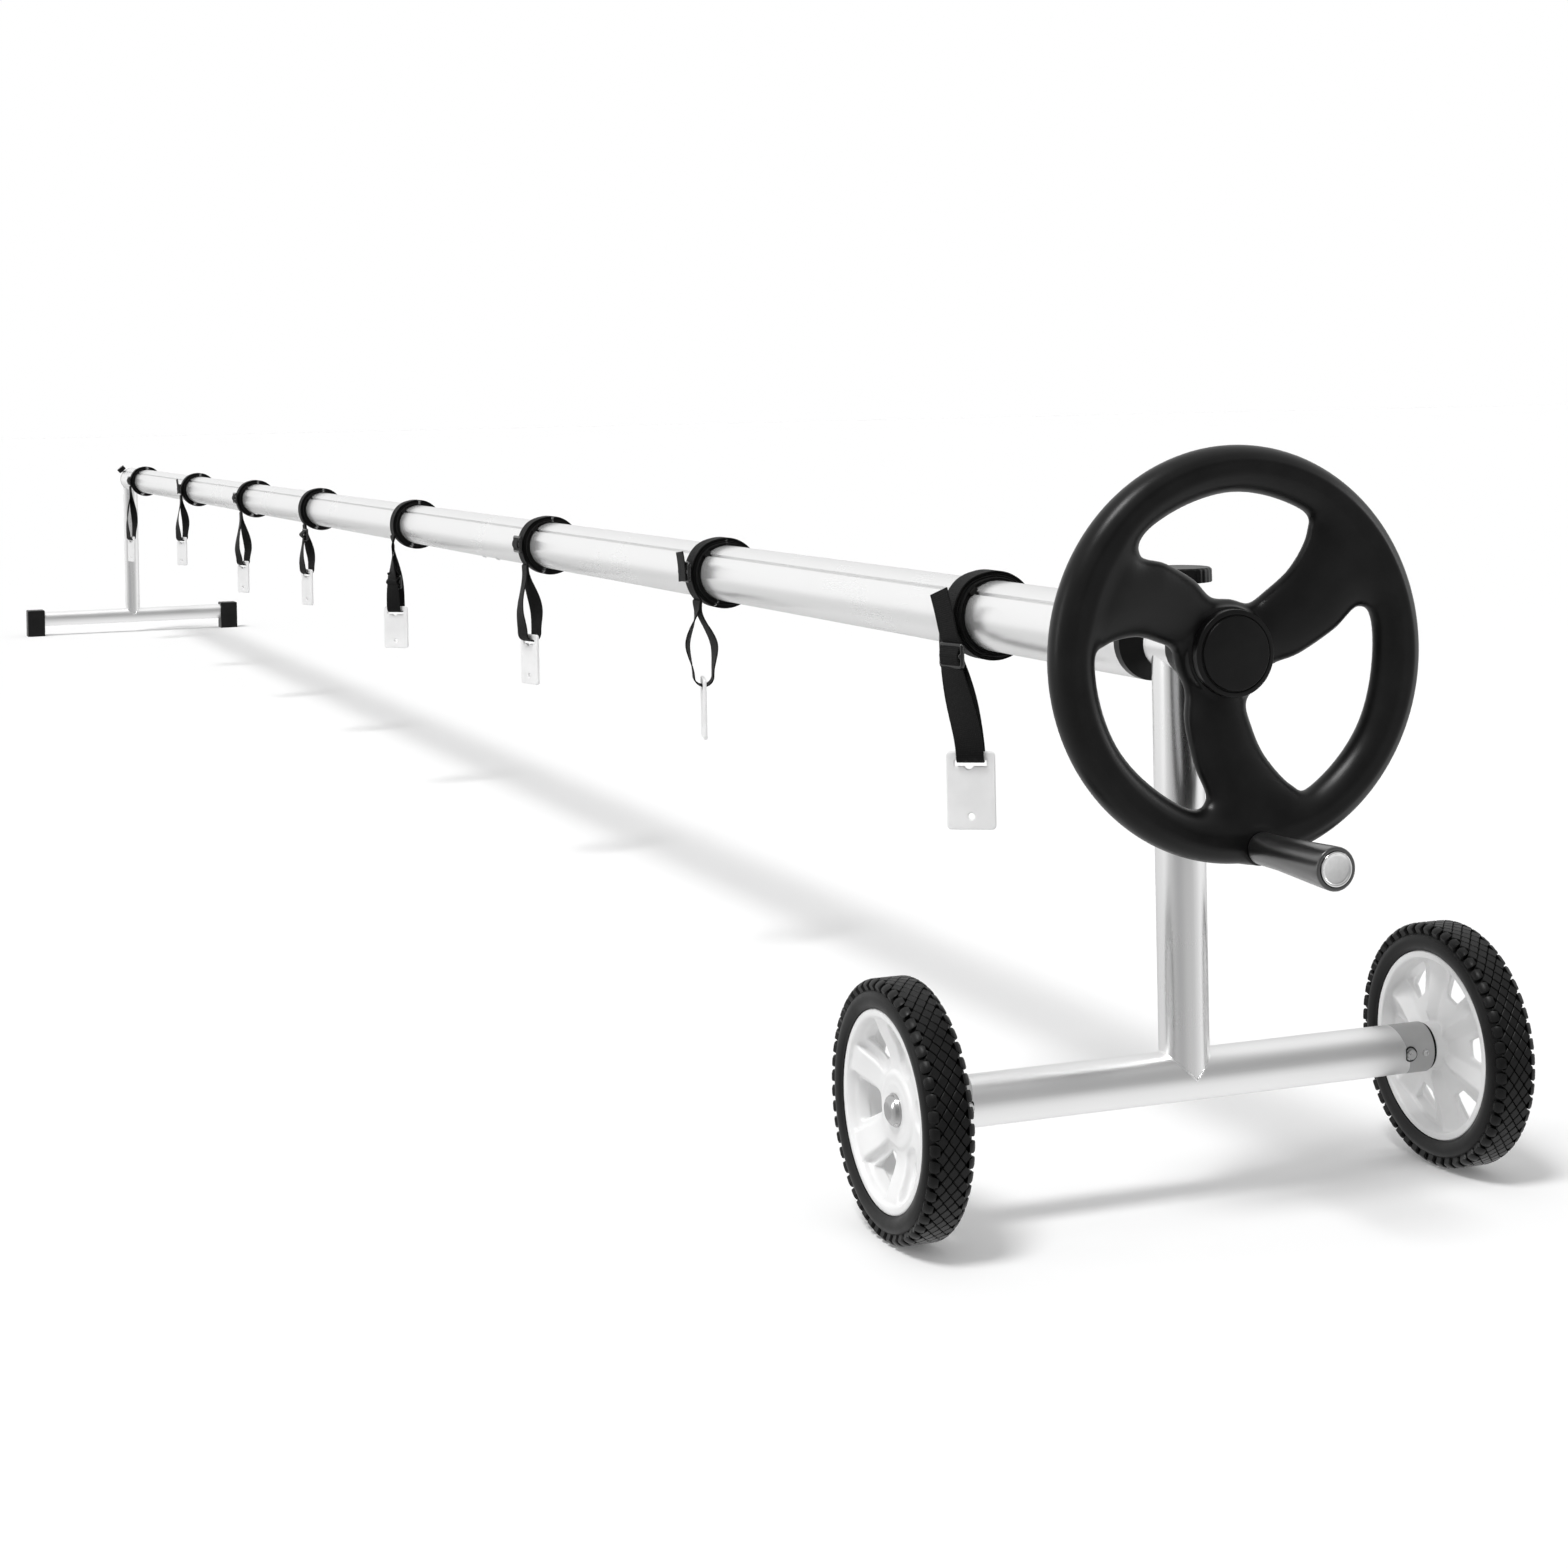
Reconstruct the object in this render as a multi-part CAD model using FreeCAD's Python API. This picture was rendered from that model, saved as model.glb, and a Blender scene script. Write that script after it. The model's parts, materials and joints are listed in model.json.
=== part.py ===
"""Pool cover reel: a long slotted drum between a wheeled drive stand and a footed idle stand.

Millimetres.  +X runs along the drum towards the hand wheel, +Z is up and the ground is Z = 0.
The origin is the middle of the reel's overall box, on the ground.
"""
import FreeCAD, Part
import math
import os
from FreeCAD import Vector as V

# ---------------------------------------------------------------- clearances
RUN = 0.05            # radial running clearance of every shaft, bolt and screw in its bore
SEAT = 0.05           # gap left where two fixed pieces seat on each other
SLIP = 0.15           # radial slip fit of spigots inside thin tubes
FACE = 0.30           # end float between pieces that turn past each other
SOFT = 0.30           # gap between webbing and whatever it lies against

# ---------------------------------------------------------------- overall sizes
SPAN = 6162.0         # between the two stand uprights
AXIS_Z = 444.0        # height of the drum axis
STAND_R = 20.25       # outer radius of every stand tube
STAND_WALL = 2.0

# ---------------------------------------------------------------- drum
DRUM_R = 32.3
DRUM_WALL = 2.0
DRUM_SECTIONS = 3
END_GAP = 46.0        # from an upright's axis to the end of the drum
GROOVE_COUNT = 3
GROOVE_FIRST_DEG = 136.0
GROOVE_W = 4.0
GROOVE_DEPTH = 3.5
CHANNEL_WALL = 2.0    # metal beside and under each groove
SPLICE_LENGTH = 240.0
SPLICE_WALL = 8.15
SPLICE_SCREW_R = 2.0
SPLICE_SCREW_DEG = (20.0, 250.0)
SPLICE_SCREW_INSET = 40.0

# ---------------------------------------------------------------- end plugs, shafts and bearings
PLUG_DEPTH = 60.0     # spigot length inside the drum
PLUG_FLANGE = 9.0
PLUG_NECK_WALL = 7.0
PLUG_CONE = 9.0
SHAFT_R = 10.0
SHAFT_IN_DRUM = 50.0
SHAFT_PIN_R = 2.5
SLEEVE_OVER = 1.25    # the sleeve's outside stands this far beyond the upright's
SLEEVE_WALL = 2.5
SLEEVE_SHORT = 2.25   # each end of the sleeve stops this far inside the upright's width
SLEEVE_SHIFT = 2.0    # the sleeve's middle stands this far outboard of the upright's axis
BUSH_LENGTH = 11.0
BUSH_FLANGE = 1.5
BUSH_FLANGE_R = 18.0
IDLE_HEAD_R = 15.0
IDLE_HEAD = 3.0

# ---------------------------------------------------------------- hand wheel
RIM_X = 94.0          # plane of the rim, from the drive upright's axis
RIM_R = 143.8
RIM_TUBE_R = 16.5
HUB_BACK_R = 24.0
HUB_STEP_X = 56.0
HUB_R = 33.0
HUB_FRONT_X = 84.0
HUB_POCKET_R = 22.0
HUB_POCKET = 14.0
WEB_THICK = 22.0
SHAFT_FLAT = 8.0      # height of the drive flat above the shaft's axis
CAP_R = 31.0
CAP_STEP_R = 25.0
CAP_THICK = 9.0
CAP_STEP = 2.0
SPOKES = 3
# one opening between two spokes, as (radius, angle in degrees) round its edge
OPENING = ((41, 78), (66, 113), (92, 129), (114, 136), (126.5, 126), (127, 92), (126.5, 62), (113, 54),
           (85, 49), (56, 52))
BOLT_R = 4.0
BOLT_LENGTH = 24.0
BOLT_FLANGE_R = 14.0
BOLT_HEAD_AF = 13.0

# ---------------------------------------------------------------- crank grip
GRIP_Y = 8.0
GRIP_DROP = 147.0     # below the drum axis
GRIP_LENGTH = 104.0
GRIP_ROOT_R = 12.5
GRIP_END_R = 16.5
GRIP_BOLT_R = 6.0
GRIP_BOLT_HEAD_R = 13.0
GRIP_BOLT_HEAD = 2.2
GRIP_BOLT_SEAT = 26.0

# ---------------------------------------------------------------- drive stand: base, axles and wheels
BASE_Z = 100.0        # axle height, which is also the tyre's radius
BASE_END = 197.0      # half length of the base tube at axle height
BASE_SLANT_DEG = 15.0
AXLE_PLUG_END = 222.0
AXLE_PLUG_SPIGOT = 65.0
AXLE_R = 6.0
AXLE_INNER = 150.0
WASHER_R = 19.0
WASHER_THICK = 2.8
WHEEL_Y = 247.0       # tyre's middle plane
TYRE_W = 38.0
TYRE_CORNER = 8.0
TYRE_BORE_R = 77.5
HUB_RIM_W = 32.0
HUB_RIM_WALL = 6.0
HUB_WEB = 9.0
HUB_BOSS_R = 21.0
HUB_BOSS_OUT = 4.2    # boss end beyond the wheel's middle plane
HUB_SPOKES = 6
HUB_POCKET_IN = 30.0
HUB_POCKET_OUT = 63.0
CAP_NUT_R = 13.0
CAP_NUT_H = 7.5
BUTTON_R = 4.0
BUTTON_PROUD = 2.2
BUTTON_LENGTH = 9.0
BUTTON_TRAVEL = 3.0
PLUG_SCREW_R = 1.5
PLUG_SCREW_Y = 213.0

# ---------------------------------------------------------------- idle stand
IDLE_BASE_Z = 48.0
FOOT_END = 297.5
FOOT_LENGTH = 47.0
FOOT_SIDE = 3.75      # rubber beside the base tube
FOOT_TOP = 5.75       # rubber above the base tube
FOOT_WALL = 5.0
FOOT_EDGE = 3.0

# ---------------------------------------------------------------- locking screws on the two sleeves
LOCK_STEM_R = 5.0
LOCK_BOSS_R = 9.0
LOCK_BOSS_TOP = 30.0  # every lock height is a distance from the drum axis
LOCK_HUB_R = 12.0
LOCK_HUB_FROM = 34.0
LOCK_RIM_FROM = 50.0
LOCK_TOP = 62.0
LOCK_KNOB_R = 28.0
LOCK_SKIRT = 4.0
LOCK_TRAVEL = 3.0
THUMB_DEG = 130.0
THUMB_STEM_R = 4.0
THUMB_BOSS_R = 8.0
THUMB_BOSS_TOP = 27.0
THUMB_FROM = 31.0
THUMB_TOP = 43.0
THUMB_KNOB_R = 11.0
THUMB_TRAVEL = 2.5

# ---------------------------------------------------------------- straps
WEB_W = 25.0
WEB_T = 1.6
RING_THICK = 10.7     # build of the webbing wound round the drum
EYE_R = 2.0
KEY_HALF_W = 1.9
KEY_HEAD_HALF_W = 4.0
KEY_HEAD = 6.0
KEY_PROUD = 4.7       # height of a key's head above the drum
BUCKLE_SIDE = 3.5     # buckle beside the webbing, at each side
BUCKLE_H = 24.0
BUCKLE_T = 6.0
TAIL_BUCKLE_T = 8.0
PLATE_W = 44.0
PLATE_H = 70.0
PLATE_T = 4.0
PLATE_CORNER = 4.0
PLATE_BAR = 8.0
PLATE_SLOT_SIDE = 2.0  # slot beside the webbing, at each side
PLATE_SLOT_H = 6.0
COVER_HOLE_R = 3.0
COVER_HOLE_UP = 12.0
STRAPS_SPAN = 6162.0  # the SPAN at which the straps' distances below are given; they spread with it
# For each strap, counted from the hand wheel: distance from the drive upright, degrees below level at
# which the tail leaves the ring, depth of the loop's bottom below the drum axis, sideways lean,
# turn of the loop about the vertical, loop height, loop half width, buckle's drop below the tail's
# eye (None where the buckle stays on the ring)
STRAPS = (
    (346.0, 10.0, 127.0, 48.0, 60.0, 34.0, 9.0, 26.0),
    (1070.0, 45.0, 129.0, 16.0, -15.0, 70.0, 12.0, None),
    (1794.0, 38.0, 133.0, 16.0, 16.0, 76.0, 12.0, None),
    (2596.0, 25.0, 146.0, 12.0, 49.0, 34.0, 9.0, 76.0),
    (3398.0, 43.0, 126.0, 16.0, 15.0, 52.0, 10.0, 18.0),
    (4112.0, 42.0, 145.0, 16.0, 21.0, 74.0, 10.0, None),
    (4911.0, 18.0, 126.0, 2.0, 21.0, 74.0, 10.0, None),
    (5836.0, 18.0, 163.0, 0.0, 15.0, 84.0, 9.0, None),
)

# ---------------------------------------------------------------- derived places
SLEEVE_R = STAND_R + SLEEVE_OVER
SLEEVE_LENGTH = 2 * (STAND_R - SLEEVE_SHORT)
FOOT_HALF_W = STAND_R + FOOT_SIDE
FOOT_H = IDLE_BASE_Z + STAND_R + FOOT_TOP
PLUG_NECK_R = SHAFT_R + PLUG_NECK_WALL
RING_R = DRUM_R + RING_THICK
KEY_TOP_R = DRUM_R + KEY_PROUD
BUCKLE_W = WEB_W + 2 * BUCKLE_SIDE
PLATE_SLOT_W = WEB_W + 2 * PLATE_SLOT_SIDE
GRIP_FROM_X = RIM_X + RIM_TUBE_R + 0.5
GRIP_END_X = GRIP_FROM_X + GRIP_LENGTH
NEAR_REACH = GRIP_END_X + GRIP_BOLT_HEAD / 2
SLEEVE_OUT = SLEEVE_SHIFT + SLEEVE_LENGTH / 2
SLEEVE_IN = SLEEVE_SHIFT - SLEEVE_LENGTH / 2
FAR_REACH = max(SLEEVE_OUT + BUSH_FLANGE + FACE + IDLE_HEAD, FOOT_HALF_W)
NEAR_X = (SPAN + FAR_REACH - NEAR_REACH) / 2
FAR_X = NEAR_X - SPAN
DRUM_IN_R = DRUM_R - DRUM_WALL
SLEEVE_IN_R = SLEEVE_R - SLEEVE_WALL
CHANNEL_IN_R = DRUM_R - GROOVE_DEPTH - CHANNEL_WALL
SPIGOT_R = DRUM_IN_R - SLIP
SPLICE_BORE_R = SPIGOT_R - SPLICE_WALL
AXLE_PLUG_R = STAND_R - STAND_WALL - SLIP
TYRE_R = BASE_Z
BIG = 500.0           # longer than any cutting tool needs to be

X_AXIS = V(1, 0, 0)
Y_AXIS = V(0, 1, 0)
Z_AXIS = V(0, 0, 1)


# ---------------------------------------------------------------- small helpers
def rod(x, y, z, axis, length, radius):
    """A round bar that starts at a point and runs along a direction."""
    return Part.makeCylinder(radius, length, V(x, y, z), axis)


def pipe(x, y, z, axis, length, outer, inner):
    """A round tube that starts at a point and runs along a direction."""
    return rod(x, y, z, axis, length, outer).cut(rod(x, y, z, axis, length, inner))


def block(x0, x1, y0, y1, z0, z1):
    """A box between two corners."""
    return Part.makeBox(x1 - x0, y1 - y0, z1 - z0, V(x0, y0, z0))


def turned(profile, at, axis):
    """A solid of revolution from (distance along axis, radius) points, about the axis through a point."""
    side = Y_AXIS if axis.y == 0 else Z_AXIS
    points = [at + axis * along + side * radius for along, radius in profile]
    face = Part.Face(Part.makePolygon(points + points[:1]))
    return face.revolve(at, axis, 360)


def radial(deg):
    """Unit vector in the drum's cross section, at an angle from +Y towards +Z."""
    angle = math.radians(deg)
    return V(0, math.cos(angle), math.sin(angle))


def spoke_bar(x0, x1, deg, r0, r1, half_w):
    """A box along X that lies between two radii of the drum's cross section."""
    bar = block(x0, x1, r0, r1, -half_w, half_w)
    bar.rotate(V(0, 0, 0), X_AXIS, deg)
    bar.translate(V(0, 0, AXIS_Z))
    return bar


def groove_degs():
    return [GROOVE_FIRST_DEG + 360.0 / GROOVE_COUNT * i for i in range(GROOVE_COUNT)]


def hexagon(x, y, z, axis, across_flats, height):
    """A hexagonal prism along X."""
    corner = across_flats / math.sqrt(3)
    points = [V(x, y, z) + radial(60 * i) * corner for i in range(7)]
    return Part.Face(Part.makePolygon(points)).extrude(axis * height)


def save(name, *solids):
    """Write one node, made of one or more separate solids."""
    pieces = [piece.removeSplitter() for piece in solids]
    shape = pieces[0] if len(pieces) == 1 else Part.makeCompound(pieces)
    for piece in pieces:
        if not piece.isValid() or len(piece.Solids) != 1:
            raise ValueError("%s is not one sound solid (%d)" % (name, len(piece.Solids)))
    shape.exportStep(os.path.join("parts", name + ".step"))


# ---------------------------------------------------------------- drum
def drum_start():
    return FAR_X + END_GAP


def section_length():
    return (SPAN - 2 * END_GAP) / DRUM_SECTIONS


def seams():
    return [drum_start() + section_length() * i for i in range(1, DRUM_SECTIONS)]


def notched(shape, x0, x1):
    """Clear the drum's groove channels out of something that slides inside it."""
    half = GROOVE_W / 2 + CHANNEL_WALL + SLIP
    for deg in groove_degs():
        shape = shape.cut(spoke_bar(x0 - 1, x1 + 1, deg, CHANNEL_IN_R - SLIP, DRUM_R, half))
    return shape


def splice_screw_places():
    return [(seam + side * SPLICE_SCREW_INSET, deg)
            for seam in seams() for side in (-1, 1) for deg in SPLICE_SCREW_DEG]


def drum_section(index):
    """One extruded drum tube with its outside grooves and the screw holes at its joints."""
    x0 = drum_start() + section_length() * index
    length = section_length() - SEAT
    x1 = x0 + length
    tube = pipe(x0, 0, AXIS_Z, X_AXIS, length, DRUM_R, DRUM_IN_R)
    for deg in groove_degs():
        channel = spoke_bar(x0, x1, deg, CHANNEL_IN_R, DRUM_R - DRUM_WALL / 2, GROOVE_W / 2 + CHANNEL_WALL)
        tube = tube.fuse(channel)
    for deg in groove_degs():
        tube = tube.cut(spoke_bar(x0 - 1, x1 + 1, deg, DRUM_R - GROOVE_DEPTH, DRUM_R + 1, GROOVE_W / 2))
    for x, deg in splice_screw_places():
        if x0 < x < x1:
            tube = tube.cut(screw_shank(x, deg, SPLICE_SCREW_R + RUN))
    return tube


def screw_shank(x, deg, radius):
    start = V(x, 0, AXIS_Z) + radial(deg) * (SPLICE_BORE_R + 1)
    return Part.makeCylinder(radius, DRUM_R - SPLICE_BORE_R, start, radial(deg))


def splice(seam):
    """Inner sleeve that joins two drum tubes."""
    x0 = seam - SPLICE_LENGTH / 2
    sleeve = pipe(x0, 0, AXIS_Z, X_AXIS, SPLICE_LENGTH, SPIGOT_R, SPLICE_BORE_R)
    sleeve = notched(sleeve, x0, x0 + SPLICE_LENGTH)
    for x, deg in splice_screw_places():
        if abs(x - seam) < SPLICE_LENGTH / 2:
            sleeve = sleeve.cut(screw_shank(x, deg, SPLICE_SCREW_R + RUN))
    return sleeve


def splice_screw(x, deg):
    start = V(x, 0, AXIS_Z) + radial(deg) * (SPLICE_BORE_R + 1)
    length = DRUM_R - SPLICE_BORE_R - 1
    shank = Part.makeCylinder(SPLICE_SCREW_R, length, start, radial(deg))
    head = Part.makeCone(2 * SPLICE_SCREW_R, 1.4 * SPLICE_SCREW_R, 1.6,
                         start + radial(deg) * (length + SEAT), radial(deg))
    neck = Part.makeCylinder(SPLICE_SCREW_R, 0.5, start + radial(deg) * (length - 0.2), radial(deg))
    return shank.fuse(neck).fuse(head)


# ---------------------------------------------------------------- drum ends
def end_plug(upright_x, out):
    """Plug in a drum end: notched spigot, flange, cone and neck.  out is +1 or -1 along X."""
    end_x = upright_x - out * END_GAP
    neck_end = SLEEVE_IN - BUSH_FLANGE - FACE
    length = END_GAP + neck_end
    axis = V(out, 0, 0)
    spigot = rod(end_x - out * PLUG_DEPTH, 0, AXIS_Z, axis, PLUG_DEPTH + PLUG_FLANGE / 2, SPIGOT_R)
    low = min(end_x, end_x - out * PLUG_DEPTH)
    spigot = notched(spigot, low, low + PLUG_DEPTH)
    outside = turned(((0, 0), (0, DRUM_R), (PLUG_FLANGE, DRUM_R), (PLUG_FLANGE + PLUG_CONE, PLUG_NECK_R),
                      (length, PLUG_NECK_R), (length, 0)), V(end_x + out * SEAT, 0, AXIS_Z), axis)
    body = spigot.fuse(outside)
    body = body.cut(rod(end_x - out * BIG, 0, AXIS_Z, axis, 2 * BIG, SHAFT_R + SEAT))
    return body.cut(shaft_pin(upright_x, out, SHAFT_PIN_R + SEAT, DRUM_IN_R))


def shaft_pin(upright_x, out, radius, half_length):
    x = upright_x - out * (END_GAP + SHAFT_IN_DRUM / 2)
    start = V(x, 0, AXIS_Z) - radial(90) * half_length
    return Part.makeCylinder(radius, 2 * half_length, start, radial(90))


def drive_shaft():
    x0 = NEAR_X - END_GAP - SHAFT_IN_DRUM
    x1 = NEAR_X + HUB_FRONT_X - HUB_POCKET
    shaft = rod(x0, 0, AXIS_Z, X_AXIS, x1 - x0, SHAFT_R)
    flat_from = NEAR_X + SLEEVE_OUT + BUSH_FLANGE + FACE
    shaft = shaft.cut(block(flat_from, x1 + 1, -BIG, BIG, AXIS_Z + SHAFT_FLAT, AXIS_Z + BIG))
    shaft = shaft.cut(rod(x1 - BOLT_LENGTH, 0, AXIS_Z, X_AXIS, BIG, BOLT_R + SEAT))
    return shaft.cut(shaft_pin(NEAR_X, 1, SHAFT_PIN_R + SEAT, DRUM_R))


def idle_shaft():
    x0 = FAR_X + END_GAP + SHAFT_IN_DRUM
    head_from = SLEEVE_OUT + BUSH_FLANGE + FACE
    shaft = rod(x0, 0, AXIS_Z, -X_AXIS, END_GAP + SHAFT_IN_DRUM + head_from, SHAFT_R)
    head = rod(FAR_X - head_from, 0, AXIS_Z, -X_AXIS, IDLE_HEAD, IDLE_HEAD_R)
    return shaft.fuse(head).cut(shaft_pin(FAR_X, -1, SHAFT_PIN_R + SEAT, DRUM_R))


# ---------------------------------------------------------------- stands
def sleeve(upright_x, out, boss_deg, boss_r, boss_top, stem_r):
    """Bearing sleeve with the welded boss of its locking screw."""
    x0 = upright_x + out * SLEEVE_IN
    axis = V(out, 0, 0)
    middle = V(upright_x + out * SLEEVE_SHIFT, 0, AXIS_Z)
    boss = Part.makeCylinder(boss_r, boss_top, middle, radial(boss_deg))
    shape = rod(x0, 0, AXIS_Z, axis, SLEEVE_LENGTH, SLEEVE_R).fuse(boss)
    shape = shape.cut(rod(x0 - out, 0, AXIS_Z, axis, SLEEVE_LENGTH + 2, SLEEVE_IN_R))
    return shape.cut(Part.makeCylinder(stem_r + RUN, BIG, middle, radial(boss_deg)))


def bush(upright_x, out, end):
    """Flanged bush pressed in one end of a sleeve: end is -1 at the drum side, +1 outboard."""
    edge = SLEEVE_OUT if end > 0 else SLEEVE_IN
    axis = V(-out * end, 0, 0)
    barrel_start = V(upright_x + out * edge, 0, AXIS_Z)
    shape = turned(((-BUSH_FLANGE, 0), (-BUSH_FLANGE, BUSH_FLANGE_R), (-SEAT, BUSH_FLANGE_R),
                    (-SEAT, SLEEVE_IN_R - SEAT), (BUSH_LENGTH, SLEEVE_IN_R - SEAT), (BUSH_LENGTH, 0)),
                   barrel_start, axis)
    return shape.cut(rod(barrel_start.x - out * BIG, 0, AXIS_Z, V(out, 0, 0), 2 * BIG, SHAFT_R + RUN))


def upright(x, base_z):
    """Upright tube, coped on to the base tube and under the bearing sleeve."""
    tube = pipe(x, 0, base_z, Z_AXIS, AXIS_Z - base_z, STAND_R, STAND_R - STAND_WALL)
    tube = tube.cut(rod(x, -BIG, base_z, Y_AXIS, 2 * BIG, STAND_R + SEAT))
    return tube.cut(rod(x - BIG, 0, AXIS_Z, X_AXIS, 2 * BIG, SLEEVE_R + SEAT))


def beyond_slant(side, offset):
    """Everything outboard of the base tube's slanted end."""
    cutter = block(-BIG, BIG, offset, BIG, -BIG, BIG)
    cutter.rotate(V(0, 0, 0), X_AXIS, BASE_SLANT_DEG)
    cutter.translate(V(NEAR_X, BASE_END, BASE_Z))
    return mirrored(cutter, side)


def mirrored(shape, side):
    return shape if side > 0 else shape.mirror(V(0, 0, 0), Y_AXIS)


def button_bore(side, radius, start, length):
    return mirrored(rod(NEAR_X + start, BASE_END + 2, BASE_Z, X_AXIS, length, radius), side)


def drive_base_tube():
    half = BASE_END + STAND_R
    tube = pipe(NEAR_X, -half, BASE_Z, Y_AXIS, 2 * half, STAND_R, STAND_R - STAND_WALL)
    for side in (-1, 1):
        tube = tube.cut(beyond_slant(side, 0))
        tube = tube.cut(button_bore(side, BUTTON_R + RUN, 0, BIG))
    return tube


def axle_plug(side):
    """Grey plug in a base tube end, which holds the stub axle and the snap button."""
    collar = rod(NEAR_X, BASE_END - STAND_R, BASE_Z, Y_AXIS, AXLE_PLUG_END - BASE_END + STAND_R, STAND_R)
    collar = mirrored(collar, side).common(beyond_slant(side, SEAT))
    inner = rod(NEAR_X, BASE_END - AXLE_PLUG_SPIGOT, BASE_Z, Y_AXIS, AXLE_PLUG_SPIGOT + 1, AXLE_PLUG_R)
    plug = collar.fuse(mirrored(inner, side))
    bore = rod(NEAR_X, AXLE_INNER - SEAT, BASE_Z, Y_AXIS, BIG, AXLE_R + SEAT)
    plug = plug.cut(mirrored(bore, side))
    button_floor = STAND_R + BUTTON_PROUD - BUTTON_LENGTH - BUTTON_TRAVEL - FACE
    plug = plug.cut(button_bore(side, BUTTON_R + RUN, button_floor, BIG))
    hole = rod(NEAR_X + AXLE_R + 4, PLUG_SCREW_Y, BASE_Z, X_AXIS, BIG, PLUG_SCREW_R + SEAT)
    return plug.cut(mirrored(hole, side))


def snap_button(side):
    start = STAND_R + BUTTON_PROUD - BUTTON_LENGTH
    return button_bore(side, BUTTON_R, start, BUTTON_LENGTH)


def plug_screw(side):
    start = AXLE_R + 4 + SEAT
    shank = rod(NEAR_X + start, PLUG_SCREW_Y, BASE_Z, X_AXIS, STAND_R + 0.3 - start, PLUG_SCREW_R)
    head = rod(NEAR_X + STAND_R + 0.1, PLUG_SCREW_Y, BASE_Z, X_AXIS, 1.1, 1.7 * PLUG_SCREW_R)
    return mirrored(shank.fuse(head), side)


def stub_axle(side):
    length = WHEEL_Y + HUB_BOSS_OUT + CAP_NUT_H - 2 - AXLE_INNER
    return mirrored(rod(NEAR_X, AXLE_INNER, BASE_Z, Y_AXIS, length, AXLE_R), side)


def axle_washer(side):
    ring = pipe(NEAR_X, AXLE_PLUG_END + SEAT, BASE_Z, Y_AXIS, WASHER_THICK, WASHER_R, AXLE_R + SEAT)
    return mirrored(ring, side)


def cap_nut(side):
    """Domed push-on nut on the end of a stub axle."""
    start = V(NEAR_X, WHEEL_Y + HUB_BOSS_OUT + FACE, BASE_Z)
    nut = turned(((0, 0), (0, CAP_NUT_R), (2, CAP_NUT_R), (CAP_NUT_H, 0.45 * CAP_NUT_R), (CAP_NUT_H, 0)),
                 start, Y_AXIS)
    nut = nut.cut(rod(NEAR_X, AXLE_INNER, BASE_Z, Y_AXIS,
                      WHEEL_Y + HUB_BOSS_OUT + CAP_NUT_H - 2 + SEAT - AXLE_INNER, AXLE_R + SEAT))
    return mirrored(nut, side)


# ---------------------------------------------------------------- road wheels
def tyre(side):
    start = V(NEAR_X, WHEEL_Y - TYRE_W / 2, BASE_Z)
    ring = turned(((0, TYRE_BORE_R + SEAT), (0, TYRE_R), (TYRE_W, TYRE_R), (TYRE_W, TYRE_BORE_R + SEAT)),
                  start, Y_AXIS)
    crown = [edge for edge in ring.Edges
             if edge.Curve.TypeId == "Part::GeomCircle" and abs(edge.Curve.Radius - TYRE_R) < 0.01]
    return mirrored(ring.makeFillet(TYRE_CORNER, crown), side)


def hub_window(index):
    """Cutter for one window between two hub spokes: a kite with its long point towards the axle."""
    half = 180.0 / HUB_SPOKES
    corners = ((HUB_POCKET_IN, 0), (0.8 * HUB_POCKET_OUT, 0.55 * half), (HUB_POCKET_OUT, 0.42 * half),
               (HUB_POCKET_OUT, -0.42 * half), (0.8 * HUB_POCKET_OUT, -0.55 * half))
    points = []
    for radius, turn in corners:
        angle = math.radians(turn + 2 * half * index)
        points.append(V(NEAR_X + radius * math.cos(angle), 0, BASE_Z + radius * math.sin(angle)))
    return Part.Face(Part.makePolygon(points + points[:1])).extrude(V(0, BIG, 0))


def hub(side):
    """Spoked plastic hub."""
    inner_end = AXLE_PLUG_END + SEAT + WASHER_THICK + FACE - WHEEL_Y
    rim = HUB_RIM_W / 2
    web = HUB_WEB / 2
    shape = turned(((inner_end, 0), (inner_end, HUB_BOSS_R), (-web, HUB_BOSS_R + 3),
                    (-web, TYRE_BORE_R - HUB_RIM_WALL - 1), (-rim, TYRE_BORE_R - HUB_RIM_WALL),
                    (-rim, TYRE_BORE_R), (rim, TYRE_BORE_R), (rim, TYRE_BORE_R - HUB_RIM_WALL),
                    (web, TYRE_BORE_R - HUB_RIM_WALL - 3), (web, HUB_BOSS_R + 3),
                    (HUB_BOSS_OUT, HUB_BOSS_R), (HUB_BOSS_OUT, 0)),
                   V(NEAR_X, WHEEL_Y, BASE_Z), Y_AXIS)
    for index in range(HUB_SPOKES):
        shape = shape.cut(hub_window(index))
    shape = shape.cut(rod(NEAR_X, 0, BASE_Z, Y_AXIS, BIG, AXLE_R + RUN))
    return mirrored(shape, side)


# ---------------------------------------------------------------- idle stand
def idle_base_tube():
    half = FOOT_END - FOOT_WALL
    return pipe(FAR_X, -half, IDLE_BASE_Z, Y_AXIS, 2 * half, STAND_R, STAND_R - STAND_WALL)


def foot(side):
    """Rubber boot that closes one end of the base tube and stands it off the ground."""
    y0 = FOOT_END - FOOT_LENGTH
    body = block(FAR_X - FOOT_HALF_W, FAR_X + FOOT_HALF_W, y0, FOOT_END, 0, FOOT_H)
    upper = [edge for edge in body.Edges if edge.BoundBox.ZMax > 1 and edge.BoundBox.ZMin > 1]
    body = body.makeFillet(FOOT_EDGE, upper)
    socket = rod(FAR_X, y0 - 1, IDLE_BASE_Z, Y_AXIS, FOOT_LENGTH - FOOT_WALL + 1 + SEAT, STAND_R + SEAT)
    return mirrored(body.cut(socket), side)


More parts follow.
